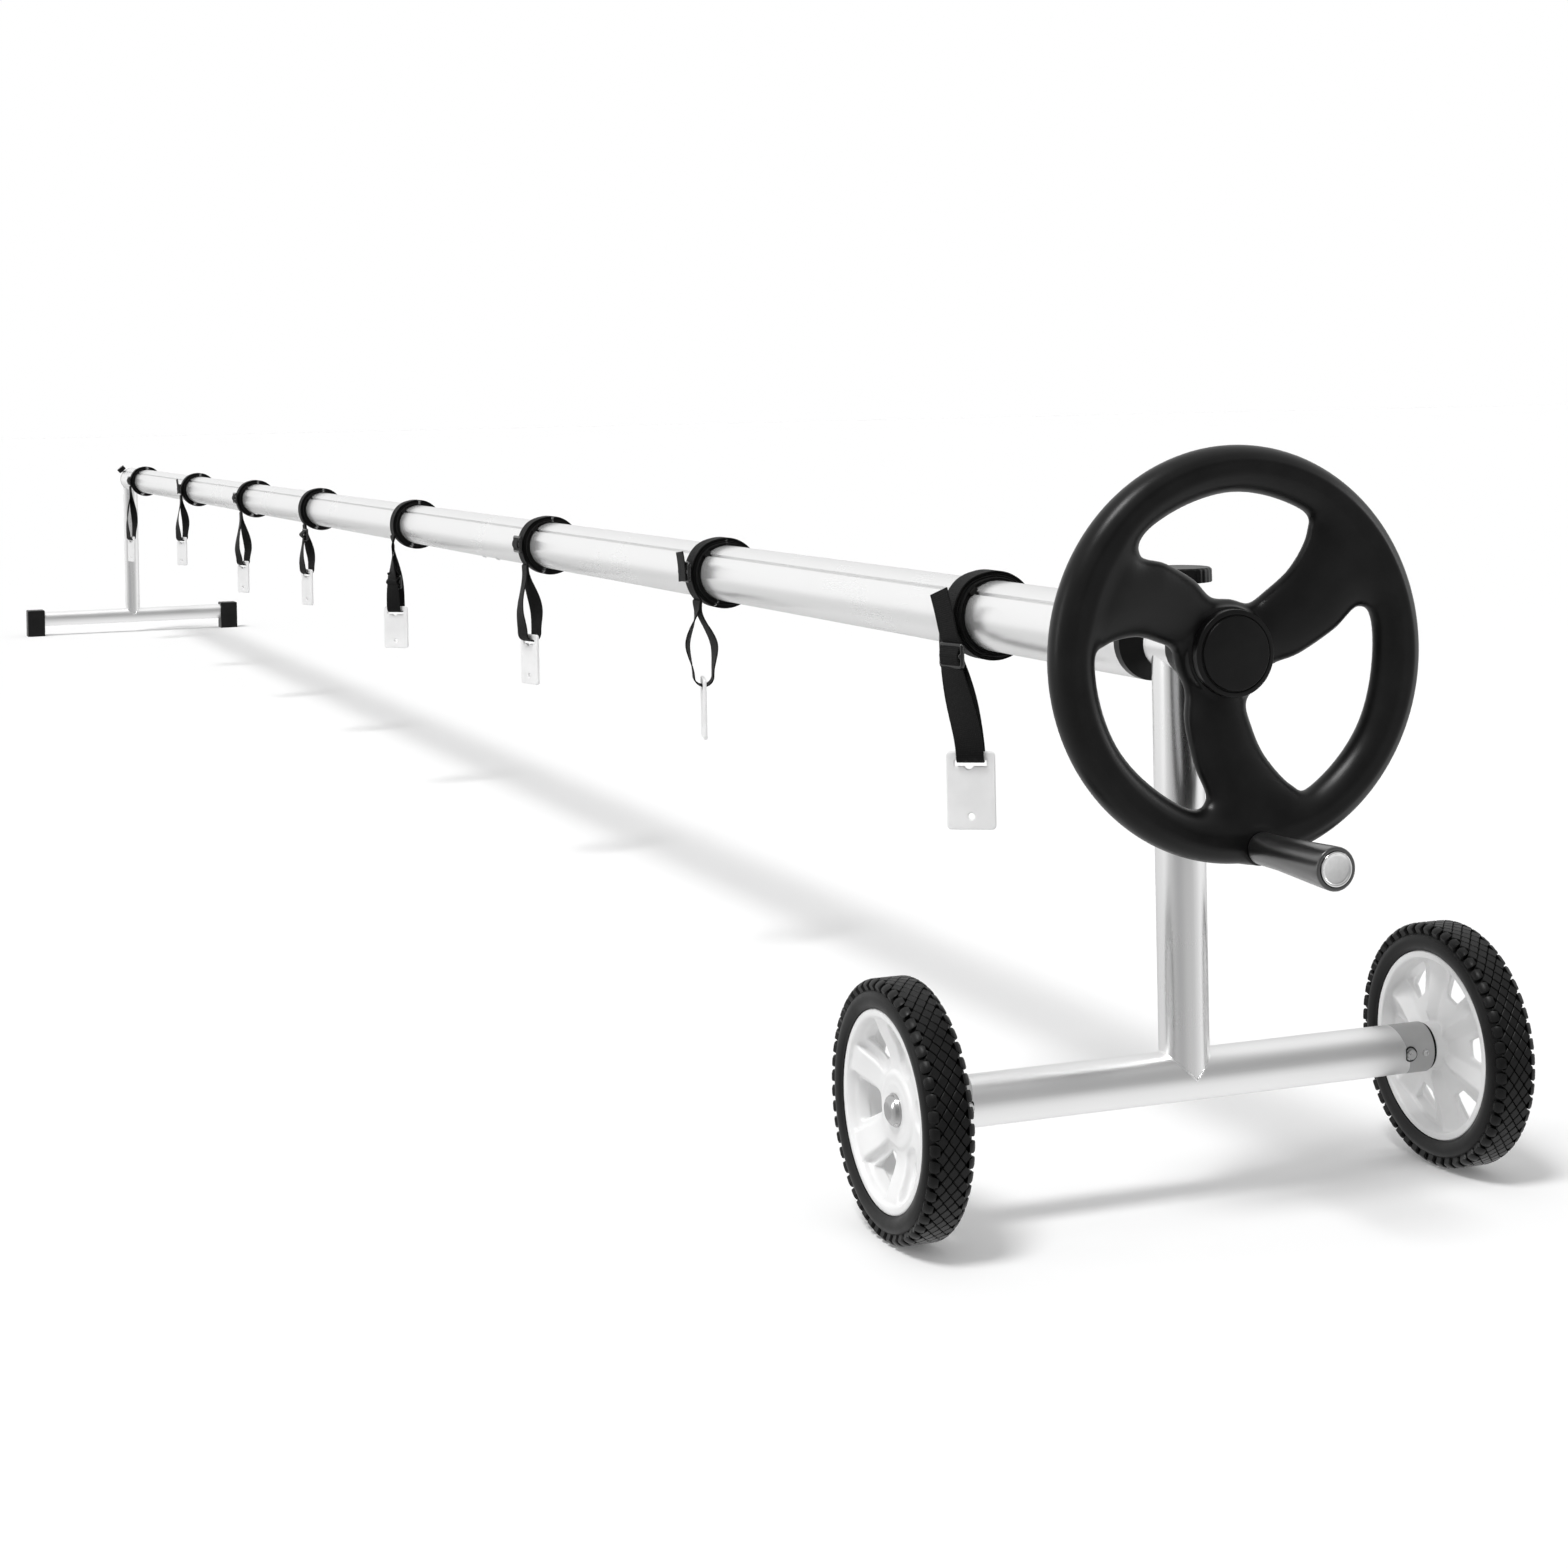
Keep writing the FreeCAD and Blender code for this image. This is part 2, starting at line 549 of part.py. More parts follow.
# ---------------------------------------------------------------- hand wheel
def wheel_opening(index):
    """Cutter for the opening between two spokes."""
    points = []
    for radius, deg in OPENING:
        points.append(V(NEAR_X, 0, AXIS_Z) + radial(deg + 360.0 / SPOKES * index) * radius)
    curve = Part.BSplineCurve()
    curve.interpolate(Points=points, PeriodicFlag=True)
    return Part.Face(Part.Wire(curve.toShape())).extrude(V(BIG, 0, 0))


def hand_wheel():
    """Dished three-spoke hand wheel with a round rim."""
    back_x = SLEEVE_OUT + BUSH_FLANGE + FACE
    web_out = RIM_X + WEB_THICK / 2
    web = turned(((HUB_FRONT_X - WEB_THICK, 0), (HUB_FRONT_X, 0), (HUB_FRONT_X, HUB_R), (web_out, RIM_R),
                  (web_out - WEB_THICK, RIM_R), (HUB_FRONT_X - WEB_THICK, HUB_R)),
                 V(NEAR_X, 0, AXIS_Z), X_AXIS)
    for index in range(SPOKES):
        web = web.cut(wheel_opening(index))
    rim = Part.makeTorus(RIM_R, RIM_TUBE_R, V(NEAR_X + RIM_X, 0, AXIS_Z), X_AXIS)
    boss = rod(NEAR_X + back_x, 0, AXIS_Z, X_AXIS, HUB_STEP_X - back_x, HUB_BACK_R)
    core = rod(NEAR_X + HUB_STEP_X, 0, AXIS_Z, X_AXIS, HUB_FRONT_X - HUB_STEP_X, HUB_R)
    wheel = rim.fuse(web).fuse(core).fuse(boss)
    bore = rod(NEAR_X, 0, AXIS_Z, X_AXIS, BIG, SHAFT_R + SEAT)
    bore = bore.cut(block(NEAR_X, NEAR_X + BIG, -BIG, BIG, AXIS_Z + SHAFT_FLAT + SEAT, AXIS_Z + BIG))
    wheel = wheel.cut(bore)
    wheel = wheel.cut(rod(NEAR_X + HUB_FRONT_X - HUB_POCKET, 0, AXIS_Z, X_AXIS, BIG, HUB_POCKET_R))
    seat_x = NEAR_X + GRIP_FROM_X - GRIP_BOLT_SEAT
    return wheel.cut(rod(seat_x, GRIP_Y, AXIS_Z - GRIP_DROP, X_AXIS, BIG, GRIP_BOLT_R + SEAT))


def wheel_bolt():
    """Flanged bolt that holds the hand wheel on the shaft."""
    seat = NEAR_X + HUB_FRONT_X - HUB_POCKET + SEAT
    shank = rod(seat - BOLT_LENGTH + 2, 0, AXIS_Z, X_AXIS, BOLT_LENGTH, BOLT_R)
    flange = rod(seat, 0, AXIS_Z, X_AXIS, 2, BOLT_FLANGE_R)
    head = hexagon(seat + 2, 0, AXIS_Z, X_AXIS, BOLT_HEAD_AF, 5.5)
    return shank.fuse(flange).fuse(head)


def hub_cap():
    """Round cover over the hub bolt, with a hollow spigot."""
    start = V(NEAR_X + HUB_FRONT_X + SEAT, 0, AXIS_Z)
    cap = turned(((0, 0), (0, CAP_R), (CAP_THICK - 1, CAP_R), (CAP_THICK, CAP_R - 1),
                  (CAP_THICK, CAP_STEP_R), (CAP_THICK + CAP_STEP, CAP_STEP_R - 1), (CAP_THICK + CAP_STEP, 0)),
                 start, X_AXIS)
    spigot = pipe(start.x - 4, 0, AXIS_Z, X_AXIS, 5, HUB_POCKET_R - SLIP, HUB_POCKET_R - 3)
    return cap.fuse(spigot)


def crank_bolt():
    """Headed pin on which the crank grip turns."""
    x0 = NEAR_X + GRIP_FROM_X - GRIP_BOLT_SEAT + SEAT
    x1 = NEAR_X + GRIP_END_X - GRIP_BOLT_HEAD / 2
    shank = rod(x0, GRIP_Y, AXIS_Z - GRIP_DROP, X_AXIS, x1 - x0 + 0.5, GRIP_BOLT_R)
    head = rod(x1, GRIP_Y, AXIS_Z - GRIP_DROP, X_AXIS, GRIP_BOLT_HEAD, GRIP_BOLT_HEAD_R)
    return shank.fuse(head)


def crank_grip():
    start = V(NEAR_X + GRIP_FROM_X, GRIP_Y, AXIS_Z - GRIP_DROP)
    grip = turned(((0, 0), (0, GRIP_ROOT_R - 1.5), (1.5, GRIP_ROOT_R), (GRIP_LENGTH - 2.5, GRIP_END_R),
                   (GRIP_LENGTH, GRIP_END_R - 1.5), (GRIP_LENGTH, 0)), start, X_AXIS)
    grip = grip.cut(rod(start.x - 1, start.y, start.z, X_AXIS, BIG, GRIP_BOLT_R + RUN))
    recess_x = NEAR_X + GRIP_END_X - GRIP_BOLT_HEAD / 2 - FACE
    return grip.cut(rod(recess_x, start.y, start.z, X_AXIS, BIG, GRIP_BOLT_HEAD_R + RUN))


# ---------------------------------------------------------------- locking screws
def lock_stem(upright_x, out, deg, radius, top):
    middle = V(upright_x + out * SLEEVE_SHIFT, 0, AXIS_Z)
    start = SHAFT_R + SEAT
    return Part.makeCylinder(radius, top - start, middle + radial(deg) * start, radial(deg))


def lock_knob():
    """Round skirted knob on the drive stand's locking screw."""
    middle = V(NEAR_X + SLEEVE_SHIFT, 0, AXIS_Z)
    inside = LOCK_TOP - LOCK_SKIRT
    knob = turned(((LOCK_HUB_FROM, 0), (LOCK_HUB_FROM, LOCK_HUB_R), (inside, LOCK_HUB_R),
                   (inside, LOCK_KNOB_R - LOCK_SKIRT), (LOCK_RIM_FROM, LOCK_KNOB_R - LOCK_SKIRT),
                   (LOCK_RIM_FROM, LOCK_KNOB_R), (LOCK_TOP - 1.5, LOCK_KNOB_R),
                   (LOCK_TOP, LOCK_KNOB_R - 1.5), (LOCK_TOP, 0)), middle, Z_AXIS)
    return knob.cut(Part.makeCylinder(LOCK_STEM_R + RUN, inside - 2, middle, Z_AXIS))


def thumb_knob():
    """Small grooved knob on the idle stand's locking screw."""
    middle = V(FAR_X - SLEEVE_SHIFT, 0, AXIS_Z)
    direction = radial(THUMB_DEG)
    height = THUMB_TOP - THUMB_FROM
    knob = Part.makeCylinder(THUMB_KNOB_R, height, middle + direction * THUMB_FROM, direction)
    flutes = 8
    for index in range(flutes):
        turn = 2 * math.pi * index / flutes
        across = X_AXIS * math.cos(turn) + radial(THUMB_DEG + 90) * math.sin(turn)
        place = middle + direction * (THUMB_FROM - 1) + across * (THUMB_KNOB_R + 1)
        knob = knob.cut(Part.makeCylinder(2.2, height + 2, place, direction))
    return knob.cut(Part.makeCylinder(THUMB_STEM_R + RUN, THUMB_TOP - 4, middle, direction))


# ---------------------------------------------------------------- straps
def strap_ring(x):
    """Webbing wound tightly round the drum."""
    return pipe(x - WEB_W / 2, 0, AXIS_Z, X_AXIS, WEB_W, RING_R, DRUM_R + SEAT)


def groove_key(x):
    """Lug that locks a strap in the drum's groove, with its head beside the ring."""
    deg = GROOVE_FIRST_DEG
    floor = DRUM_R - GROOVE_DEPTH + SEAT
    face = x + WEB_W / 2 + SEAT
    tongue = spoke_bar(x - WEB_W / 2, face + KEY_HEAD, deg, floor, DRUM_R - SEAT, KEY_HALF_W)
    head = spoke_bar(face, face + KEY_HEAD, deg, DRUM_R + SEAT, KEY_TOP_R, KEY_HEAD_HALF_W)
    neck = spoke_bar(face, face + KEY_HEAD, deg, floor, KEY_TOP_R, KEY_HALF_W)
    return tongue.fuse(neck).fuse(head)


def strap_x(strap):
    return NEAR_X - strap[0] * SPAN / STRAPS_SPAN


def eye_place(x, leave_deg):
    """Centre of the small eye where a hanging tail leaves its ring."""
    return V(x, 0, AXIS_Z) + radial(180 + leave_deg) * (RING_R + SOFT + EYE_R)


def ring_buckle(x):
    """Slide buckle that lies against the ring on the side where the tail hangs."""
    y = -(RING_R + SOFT + BUCKLE_T / 2)
    z = AXIS_Z + 3
    frame = block(x - BUCKLE_W / 2, x + BUCKLE_W / 2, y - BUCKLE_T / 2, y + BUCKLE_T / 2,
                  z - BUCKLE_H / 2, z + BUCKLE_H / 2)
    slot = BUCKLE_H / 2 - 5
    for z0 in (z - slot - 1.5, z + 1.5):
        frame = frame.cut(block(x - WEB_W / 2 - 1, x + WEB_W / 2 + 1, y - BIG, y + BIG, z0, z0 + slot))
    return frame


def loop_band(bottom, height, half_w):
    """Closed loop of webbing in the YZ plane, standing on a bottom point and narrowing upwards."""
    def teardrop(low, top, radius):
        centre = V(0, 0, low + radius)
        lift = math.asin(radius / (top - centre.z))
        side = V(0, radius * math.cos(lift), radius * math.sin(lift))
        right = centre + side
        left = centre + V(0, -side.y, side.z)
        base = Part.Arc(left, V(0, 0, low), right).toShape()
        edges = [base, Part.LineSegment(right, V(0, 0, top)).toShape(),
                 Part.LineSegment(V(0, 0, top), left).toShape()]
        return Part.Face(Part.Wire(Part.__sortEdges__(edges)))

    band = teardrop(0, height, half_w).cut(teardrop(WEB_T, height - 3 * WEB_T, half_w - WEB_T))
    band.translate(V(-WEB_W / 2, 0, 0))
    solid = band.extrude(V(WEB_W, 0, 0))
    solid.translate(bottom)
    return solid


def strap_tail(strap):
    """Eye, doubled webbing and bottom loop of one hanging strap."""
    _, leave, depth, lean, turn, loop_h, loop_w, _ = strap
    eye = eye_place(strap_x(strap), leave)
    bottom = V(eye.x + lean, eye.y, AXIS_Z - depth)
    join = bottom.z + loop_h - 6
    round_eye = rod(eye.x - WEB_W / 2, eye.y, eye.z, X_AXIS, WEB_W, EYE_R)
    half = WEB_W / 2
    corners = [V(eye.x - half, eye.y - WEB_T, eye.z), V(eye.x + half, eye.y - WEB_T, eye.z),
               V(bottom.x + half, eye.y - WEB_T, join), V(bottom.x - half, eye.y - WEB_T, join)]
    stem = Part.Face(Part.makePolygon(corners + corners[:1])).extrude(V(0, 2 * WEB_T, 0))
    loop = loop_band(bottom, loop_h, loop_w)
    loop.rotate(bottom, Z_AXIS, turn)
    return round_eye.fuse(stem).fuse(loop)


def tail_buckle(strap):
    """Slide buckle part of the way down a hanging tail, lined up with the webbing through it."""
    _, leave, depth, lean, _, loop_h, _, drop = strap
    eye = eye_place(strap_x(strap), leave)
    stem = eye.z - (AXIS_Z - depth + loop_h - 6)
    slope = math.degrees(math.atan2(lean, stem))
    frame = block(-BUCKLE_W / 2, BUCKLE_W / 2, -TAIL_BUCKLE_T / 2, TAIL_BUCKLE_T / 2,
                  -BUCKLE_H / 2, BUCKLE_H / 2)
    half = WEB_W / 2 + 0.5
    frame = frame.cut(block(-half, half, -WEB_T - SOFT, WEB_T + SOFT, -BIG, BIG))
    frame.rotate(V(0, 0, 0), Y_AXIS, -slope)
    frame.translate(V(eye.x + lean * drop / stem, eye.y, eye.z - drop))
    return frame


def loop_centre(strap):
    """Centre of the round bottom of a strap's loop, about which the plate swings."""
    _, leave, depth, lean, _, _, loop_w, _ = strap
    eye = eye_place(strap_x(strap), leave)
    return V(eye.x + lean, eye.y, AXIS_Z - depth + loop_w)


def cover_plate(strap):
    """Flat plate that hangs in a strap's loop and takes the cover's fastener."""
    loop_w, turn = strap[6], strap[4]
    reach = math.sqrt((loop_w - WEB_T - SOFT) ** 2 - (PLATE_T / 2) ** 2)
    hang = loop_centre(strap) - Z_AXIS * reach
    top = PLATE_BAR
    plate = block(-PLATE_W / 2, PLATE_W / 2, -PLATE_T / 2, PLATE_T / 2, top - PLATE_H, top)
    corners = [edge for edge in plate.Edges if abs(edge.BoundBox.YLength - PLATE_T) < 0.01]
    plate = plate.makeFillet(PLATE_CORNER, corners)
    plate = plate.cut(block(-PLATE_SLOT_W / 2, PLATE_SLOT_W / 2, -BIG, BIG, -PLATE_SLOT_H, 0))
    hole_z = top - PLATE_H + COVER_HOLE_UP
    plate = plate.cut(rod(0, -BIG, hole_z, Y_AXIS, 2 * BIG, COVER_HOLE_R))
    plate.rotate(V(0, 0, 0), Z_AXIS, turn)
    plate.translate(hang)
    return plate


# ---------------------------------------------------------------- build
def build_drum():
    names = ("far", "middle", "near")
    for index in range(DRUM_SECTIONS):
        save("drum_tube_" + names[index], drum_section(index))
    save("drum_splices", *[splice(seam) for seam in seams()])
    save("splice_screws", *[splice_screw(x, deg) for x, deg in splice_screw_places()])
    save("end_plugs", end_plug(NEAR_X, 1), end_plug(FAR_X, -1))
    save("drive_shaft", drive_shaft())
    save("idle_shaft", idle_shaft())
    pins = [shaft_pin(x, out, SHAFT_PIN_R, DRUM_IN_R - 4) for x, out in ((NEAR_X, 1), (FAR_X, -1))]
    save("shaft_pins", *pins)


def build_hand_wheel():
    save("hand_wheel", hand_wheel())
    save("wheel_bolt", wheel_bolt())
    save("hub_cap", hub_cap())
    save("crank_bolt", crank_bolt())
    save("crank_grip", crank_grip())


def build_drive_stand():
    sides = (-1, 1)
    save("drive_base_tube", drive_base_tube())
    save("drive_upright", upright(NEAR_X, BASE_Z))
    save("drive_sleeve", sleeve(NEAR_X, 1, 90, LOCK_BOSS_R, LOCK_BOSS_TOP, LOCK_STEM_R))
    save("drive_bushes", bush(NEAR_X, 1, -1), bush(NEAR_X, 1, 1))
    save("axle_plugs", *[axle_plug(side) for side in sides])
    save("stub_axles", *[stub_axle(side) for side in sides])
    save("axle_washers", *[axle_washer(side) for side in sides])
    save("cap_nuts", *[cap_nut(side) for side in sides])
    save("plug_screws", *[plug_screw(side) for side in sides])
    for side, name in ((-1, "left"), (1, "right")):
        save("snap_button_" + name, snap_button(side))
        save("tyre_" + name, tyre(side))
        save("hub_" + name, hub(side))
    save("lock_stem", lock_stem(NEAR_X, 1, 90, LOCK_STEM_R, LOCK_TOP - LOCK_SKIRT - 2 - FACE))
    save("lock_knob", lock_knob())


def build_idle_stand():
    save("idle_base_tube", idle_base_tube())
    save("idle_upright", upright(FAR_X, IDLE_BASE_Z))
    save("idle_sleeve", sleeve(FAR_X, -1, THUMB_DEG, THUMB_BOSS_R, THUMB_BOSS_TOP, THUMB_STEM_R))
    save("idle_bushes", bush(FAR_X, -1, -1), bush(FAR_X, -1, 1))
    save("feet", foot(-1), foot(1))
    save("thumb_stem", lock_stem(FAR_X, -1, THUMB_DEG, THUMB_STEM_R, THUMB_TOP - 4 - FACE))
    save("thumb_knob", thumb_knob())


def build_straps():
    places = [strap_x(strap) for strap in STRAPS]
    save("strap_rings", *[strap_ring(x) for x in places])
    save("groove_keys", *[groove_key(x) for x in places])
    save("ring_buckles", *[ring_buckle(x) for x, strap in zip(places, STRAPS) if strap[7] is None])
    for number, strap in enumerate(STRAPS, 1):
        save("strap_tail_%d" % number, strap_tail(strap))
        save("cover_plate_%d" % number, cover_plate(strap))
        if strap[7] is not None:
            save("tail_buckle_%d" % number, tail_buckle(strap))


os.makedirs("parts", exist_ok=True)
build_drum()
build_hand_wheel()
build_drive_stand()
build_idle_stand()
build_straps()
print("drive upright at x = %.2f, idle upright at x = %.2f" % (NEAR_X, FAR_X))
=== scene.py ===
import json
import math

import bmesh
import bpy
import numpy as np
from mathutils import Matrix, Vector

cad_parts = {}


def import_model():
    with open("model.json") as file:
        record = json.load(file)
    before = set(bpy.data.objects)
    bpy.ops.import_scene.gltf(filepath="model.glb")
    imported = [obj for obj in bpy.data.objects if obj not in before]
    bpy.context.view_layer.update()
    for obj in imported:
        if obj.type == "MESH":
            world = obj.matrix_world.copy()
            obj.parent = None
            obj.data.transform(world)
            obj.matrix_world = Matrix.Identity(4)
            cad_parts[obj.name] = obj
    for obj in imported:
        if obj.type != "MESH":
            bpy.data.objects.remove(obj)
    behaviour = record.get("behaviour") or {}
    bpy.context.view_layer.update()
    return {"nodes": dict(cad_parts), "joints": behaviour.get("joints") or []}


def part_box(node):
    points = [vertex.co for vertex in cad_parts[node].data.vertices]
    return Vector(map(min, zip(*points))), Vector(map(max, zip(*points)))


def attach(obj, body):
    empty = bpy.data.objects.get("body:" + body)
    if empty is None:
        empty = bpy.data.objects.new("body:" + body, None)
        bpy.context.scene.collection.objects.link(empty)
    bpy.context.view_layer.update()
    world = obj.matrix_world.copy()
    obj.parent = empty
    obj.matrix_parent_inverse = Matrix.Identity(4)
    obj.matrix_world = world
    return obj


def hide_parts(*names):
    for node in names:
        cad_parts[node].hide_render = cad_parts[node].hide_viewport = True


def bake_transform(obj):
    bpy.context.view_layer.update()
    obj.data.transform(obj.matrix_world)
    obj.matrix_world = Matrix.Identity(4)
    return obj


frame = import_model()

MM = 0.001
JOINTS = {joint["name"]: joint for joint in frame["joints"]}
STRAP_NUMBERS = range(1, 9)


def middle(node):
    low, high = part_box(node)
    return (low + high) / 2


AXIS_Z = middle("drum_tube_middle").z
NEAR_X = middle("drive_upright").x
FAR_X = middle("idle_upright").x
DRUM_R = (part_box("drum_tube_middle")[1].z - AXIS_Z) / MM
STAND_R = 20.25       # both stands' round tubes, mm
RING_THICK = 10.7     # build of the webbing wound round the drum, mm


# ---- materials
def grey(value):
    return (value, value, value)


class Graph:
    """A node tree with short ways to add nodes and to set or link their inputs."""

    def __init__(self, owner):
        owner.use_nodes = True
        self.nodes, self.links = owner.node_tree.nodes, owner.node_tree.links

    def add(self, kind, inputs=(), **settings):
        """A new shader node.  Each input is a number, a colour or another node's output."""
        node = self.nodes.new("ShaderNode" + kind)
        for name, value in settings.items():
            setattr(node, name, value)
        for key, value in dict(inputs).items():
            if isinstance(value, bpy.types.NodeSocket):
                self.links.new(value, node.inputs[key])
            else:
                node.inputs[key].default_value = value
        return node

    def ramp(self, value, low, high, out_low, out_high, interpolation="LINEAR"):
        """A number moved from one range to another."""
        inputs = {"Value": value, "From Min": low, "From Max": high, "To Min": out_low,
                  "To Max": out_high}
        return self.add("MapRange", inputs, interpolation_type=interpolation).outputs["Result"]

    def math(self, kind, a, b):
        return self.add("Math", {0: a, 1: b}, operation=kind).outputs[0]

    def greys(self, value, first, stops, last):
        """A ramp from a first to a last colour, with grey (position, shade) stops on the way."""
        node = self.add("ValToRGB", {"Fac": value})
        elements = node.color_ramp.elements
        for position, shade in stops:
            elements.new(position).color = (*grey(shade), 1)
        elements[0].color, elements[-1].color = (*first, 1), (*last, 1)
        return node.outputs["Color"]

    def mixed(self, factor, first, second):
        return self.add("MixShader", {"Fac": factor, 1: first, 2: second}).outputs[0]


class Surface(Graph):
    """A node material round one Principled shader, with small helpers for procedural detail."""

    def __init__(self, name, colour, roughness, metallic=0.0, specular=0.5):
        self.material = bpy.data.materials.new(name)
        super().__init__(self.material)
        self.shader = self.nodes["Principled BSDF"]
        self.set({"Base Color": (*colour, 1), "Roughness": roughness, "Metallic": metallic,
                  "Specular IOR Level": specular})
        self.material.diffuse_color = (*colour, 1)
        self.normal = None

    def set(self, inputs):
        for key, value in inputs.items():
            self.shader.inputs[key].default_value = value

    def coordinates(self, kind="Object", scale=(1, 1, 1)):
        source = self.add("TexCoord").outputs[kind]
        return self.add("Mapping", {"Scale": scale, "Vector": source}).outputs["Vector"]

    def noise(self, scale, stretch=(1, 1, 1), detail=3.0, roughness=0.5):
        inputs = {"Scale": scale, "Detail": detail, "Roughness": roughness,
                  "Vector": self.coordinates(scale=stretch)}
        return self.add("TexNoise", inputs).outputs["Fac"]

    def mix_colour(self, factor, first, second):
        inputs = {"A": (*first, 1), "B": (*second, 1), "Factor": factor}
        node = self.add("Mix", inputs, data_type="RGBA")
        self.links.new(node.outputs["Result"], self.shader.inputs["Base Color"])

    def roughen(self, value, low, high):
        self.links.new(self.ramp(value, 0.3, 0.7, low, high), self.shader.inputs["Roughness"])

    def bump(self, height, distance, strength=1.0):
        inputs = {"Distance": distance, "Strength": strength, "Height": height}
        if self.normal is not None:
            inputs["Normal"] = self.normal
        self.normal = self.add("Bump", inputs).outputs["Normal"]
        self.links.new(self.normal, self.shader.inputs["Normal"])


def aluminium(name, shade, rough, stretch, metallic=1.0):
    """Extruded tube: fine die lines along its length, faint cloudy handling marks."""
    surface = Surface(name, grey(shade), rough[0], metallic=metallic)
    lines = surface.noise(900, stretch, detail=2.0)
    clouds = surface.noise(9, detail=4.0)
    both = surface.math("ADD", surface.math("MULTIPLY", lines, 0.2),
                        surface.math("MULTIPLY", clouds, 0.8))
    surface.roughen(both, *rough)
    surface.mix_colour(both, grey(shade * 0.985), grey(min(1.0, shade * 1.01)))
    surface.bump(lines, 0.0000005, 0.2)
    return surface.material


def moulded(name, low, high, rough, grain=0.00008, specular=0.5, coat=0.0):
    """Injection moulded plastic: fine even grain, soft variation in gloss."""
    surface = Surface(name, low, rough[0], specular=specular)
    patch = surface.noise(35, detail=4.0)
    fine = surface.noise(1400, detail=1.0)
    surface.mix_colour(surface.ramp(patch, 0.3, 0.7, 0, 1), low, high)
    surface.roughen(patch, *rough)
    surface.bump(fine, grain, 0.35)
    surface.bump(surface.noise(60, detail=2.0), 0.0003, 0.15)
    surface.set({"Coat Weight": coat, "Coat Roughness": 0.25})
    return surface.material


def steel(name, shade, rough):
    """Plated or turned steel: small even marks in its gloss."""
    surface = Surface(name, grey(shade), rough[0], metallic=1.0)
    marks = surface.noise(260, detail=5.0)
    surface.roughen(marks, *rough)
    surface.mix_colour(marks, grey(shade * 0.85), grey(shade))
    surface.bump(surface.noise(700), 0.00004, 0.4)
    return surface.material


def rubber(name, low, high):
    """Matt black rubber with a little dust in patches."""
    surface = Surface(name, grey(low), 0.5, specular=0.24)
    dust = surface.noise(45, detail=6.0, roughness=0.65)
    surface.mix_colour(surface.ramp(dust, 0.35, 0.7, 0, 1), grey(low), grey(high))
    surface.roughen(dust, 0.34, 0.52)
    surface.bump(surface.noise(900, detail=2.0), 0.0001, 0.4)
    return surface.material


def webbing(name):
    """Black woven strap: warp ribs along it and weft picks across it, on the strip's own uv."""
    surface = Surface(name, grey(0.003), 0.7, specular=0.14)
    place_uv = surface.coordinates("UV")
    warp = surface.add("TexWave", {"Scale": 5.2, "Vector": place_uv}, bands_direction="X")
    weft = surface.add("TexWave", {"Scale": 170.0, "Distortion": 0.6, "Vector": place_uv},
                       bands_direction="Y")
    weave = surface.math("MULTIPLY", warp.outputs["Fac"], weft.outputs["Fac"])
    fuzz = surface.noise(600)
    # painted shade and highlight: the weave's hollows are darker and its ribs lighter, with random
    # fuzz tone on top
    weave_shade_and_fuzz = surface.math("ADD", weave, surface.math("MULTIPLY", fuzz, 0.5))
    surface.mix_colour(weave_shade_and_fuzz, grey(0.001), grey(0.006))
    surface.roughen(fuzz, 0.55, 0.75)
    surface.bump(weave, 0.0004, 0.7)
    surface.bump(fuzz, 0.0001, 0.4)
    surface.set({"Sheen Weight": 0.025, "Sheen Roughness": 0.4})
    return surface.material


# how a tube's die lines stretch, by the axis that it lies along
ALONG_X, ALONG_Y, ALONG_Z = (0.004, 1, 1), (1, 0.004, 1), (1, 1, 0.004)
MAT = {
    "drum": aluminium("drum_aluminium", 0.88, (0.25, 0.28), ALONG_X, 0.75),
    "base": aluminium("base_aluminium", 0.86, (0.32, 0.4), ALONG_Y),
    "upright": aluminium("upright_aluminium", 0.88, (0.24, 0.32), ALONG_Z),
    "sleeve": aluminium("sleeve_aluminium", 0.9, (0.18, 0.26), ALONG_X),
    "steel": steel("zinc_steel", 0.72, (0.22, 0.4)),
    "bright": steel("bright_steel", 0.86, (0.1, 0.2)),
    "nut": steel("nut_steel", 0.5, (0.12, 0.22)),
    "black": moulded("black_plastic", grey(0.003), grey(0.006), (0.28, 0.36), specular=0.2),
    "grip": moulded("grip_plastic", grey(0.006), grey(0.012), (0.26, 0.34), specular=1.0,
                    coat=0.8),
    "buckle": moulded("buckle_plastic", grey(0.004), grey(0.007), (0.14, 0.22), specular=0.6),
    "grey": moulded("grey_plastic", grey(0.36), grey(0.42), (0.4, 0.5)),
    "white": moulded("white_plastic", grey(0.78), grey(0.82), (0.3, 0.4), grain=0.00003,
                     coat=0.2),
    "plate": moulded("plate_plastic", grey(0.78), grey(0.85), (0.34, 0.46), grain=0.00004),
    "nylon": moulded("natural_nylon", (0.72, 0.71, 0.67), (0.78, 0.77, 0.72), (0.4, 0.5)),
    "tyre": rubber("tyre_rubber", 0.002, 0.005),
    "foot": rubber("foot_rubber", 0.004, 0.008),
    "web": webbing("webbing"),
}


# ---- mesh helpers
def in_scene(name, data):
    thing = bpy.data.objects.new(name, data)
    bpy.context.scene.collection.objects.link(thing)
    return thing


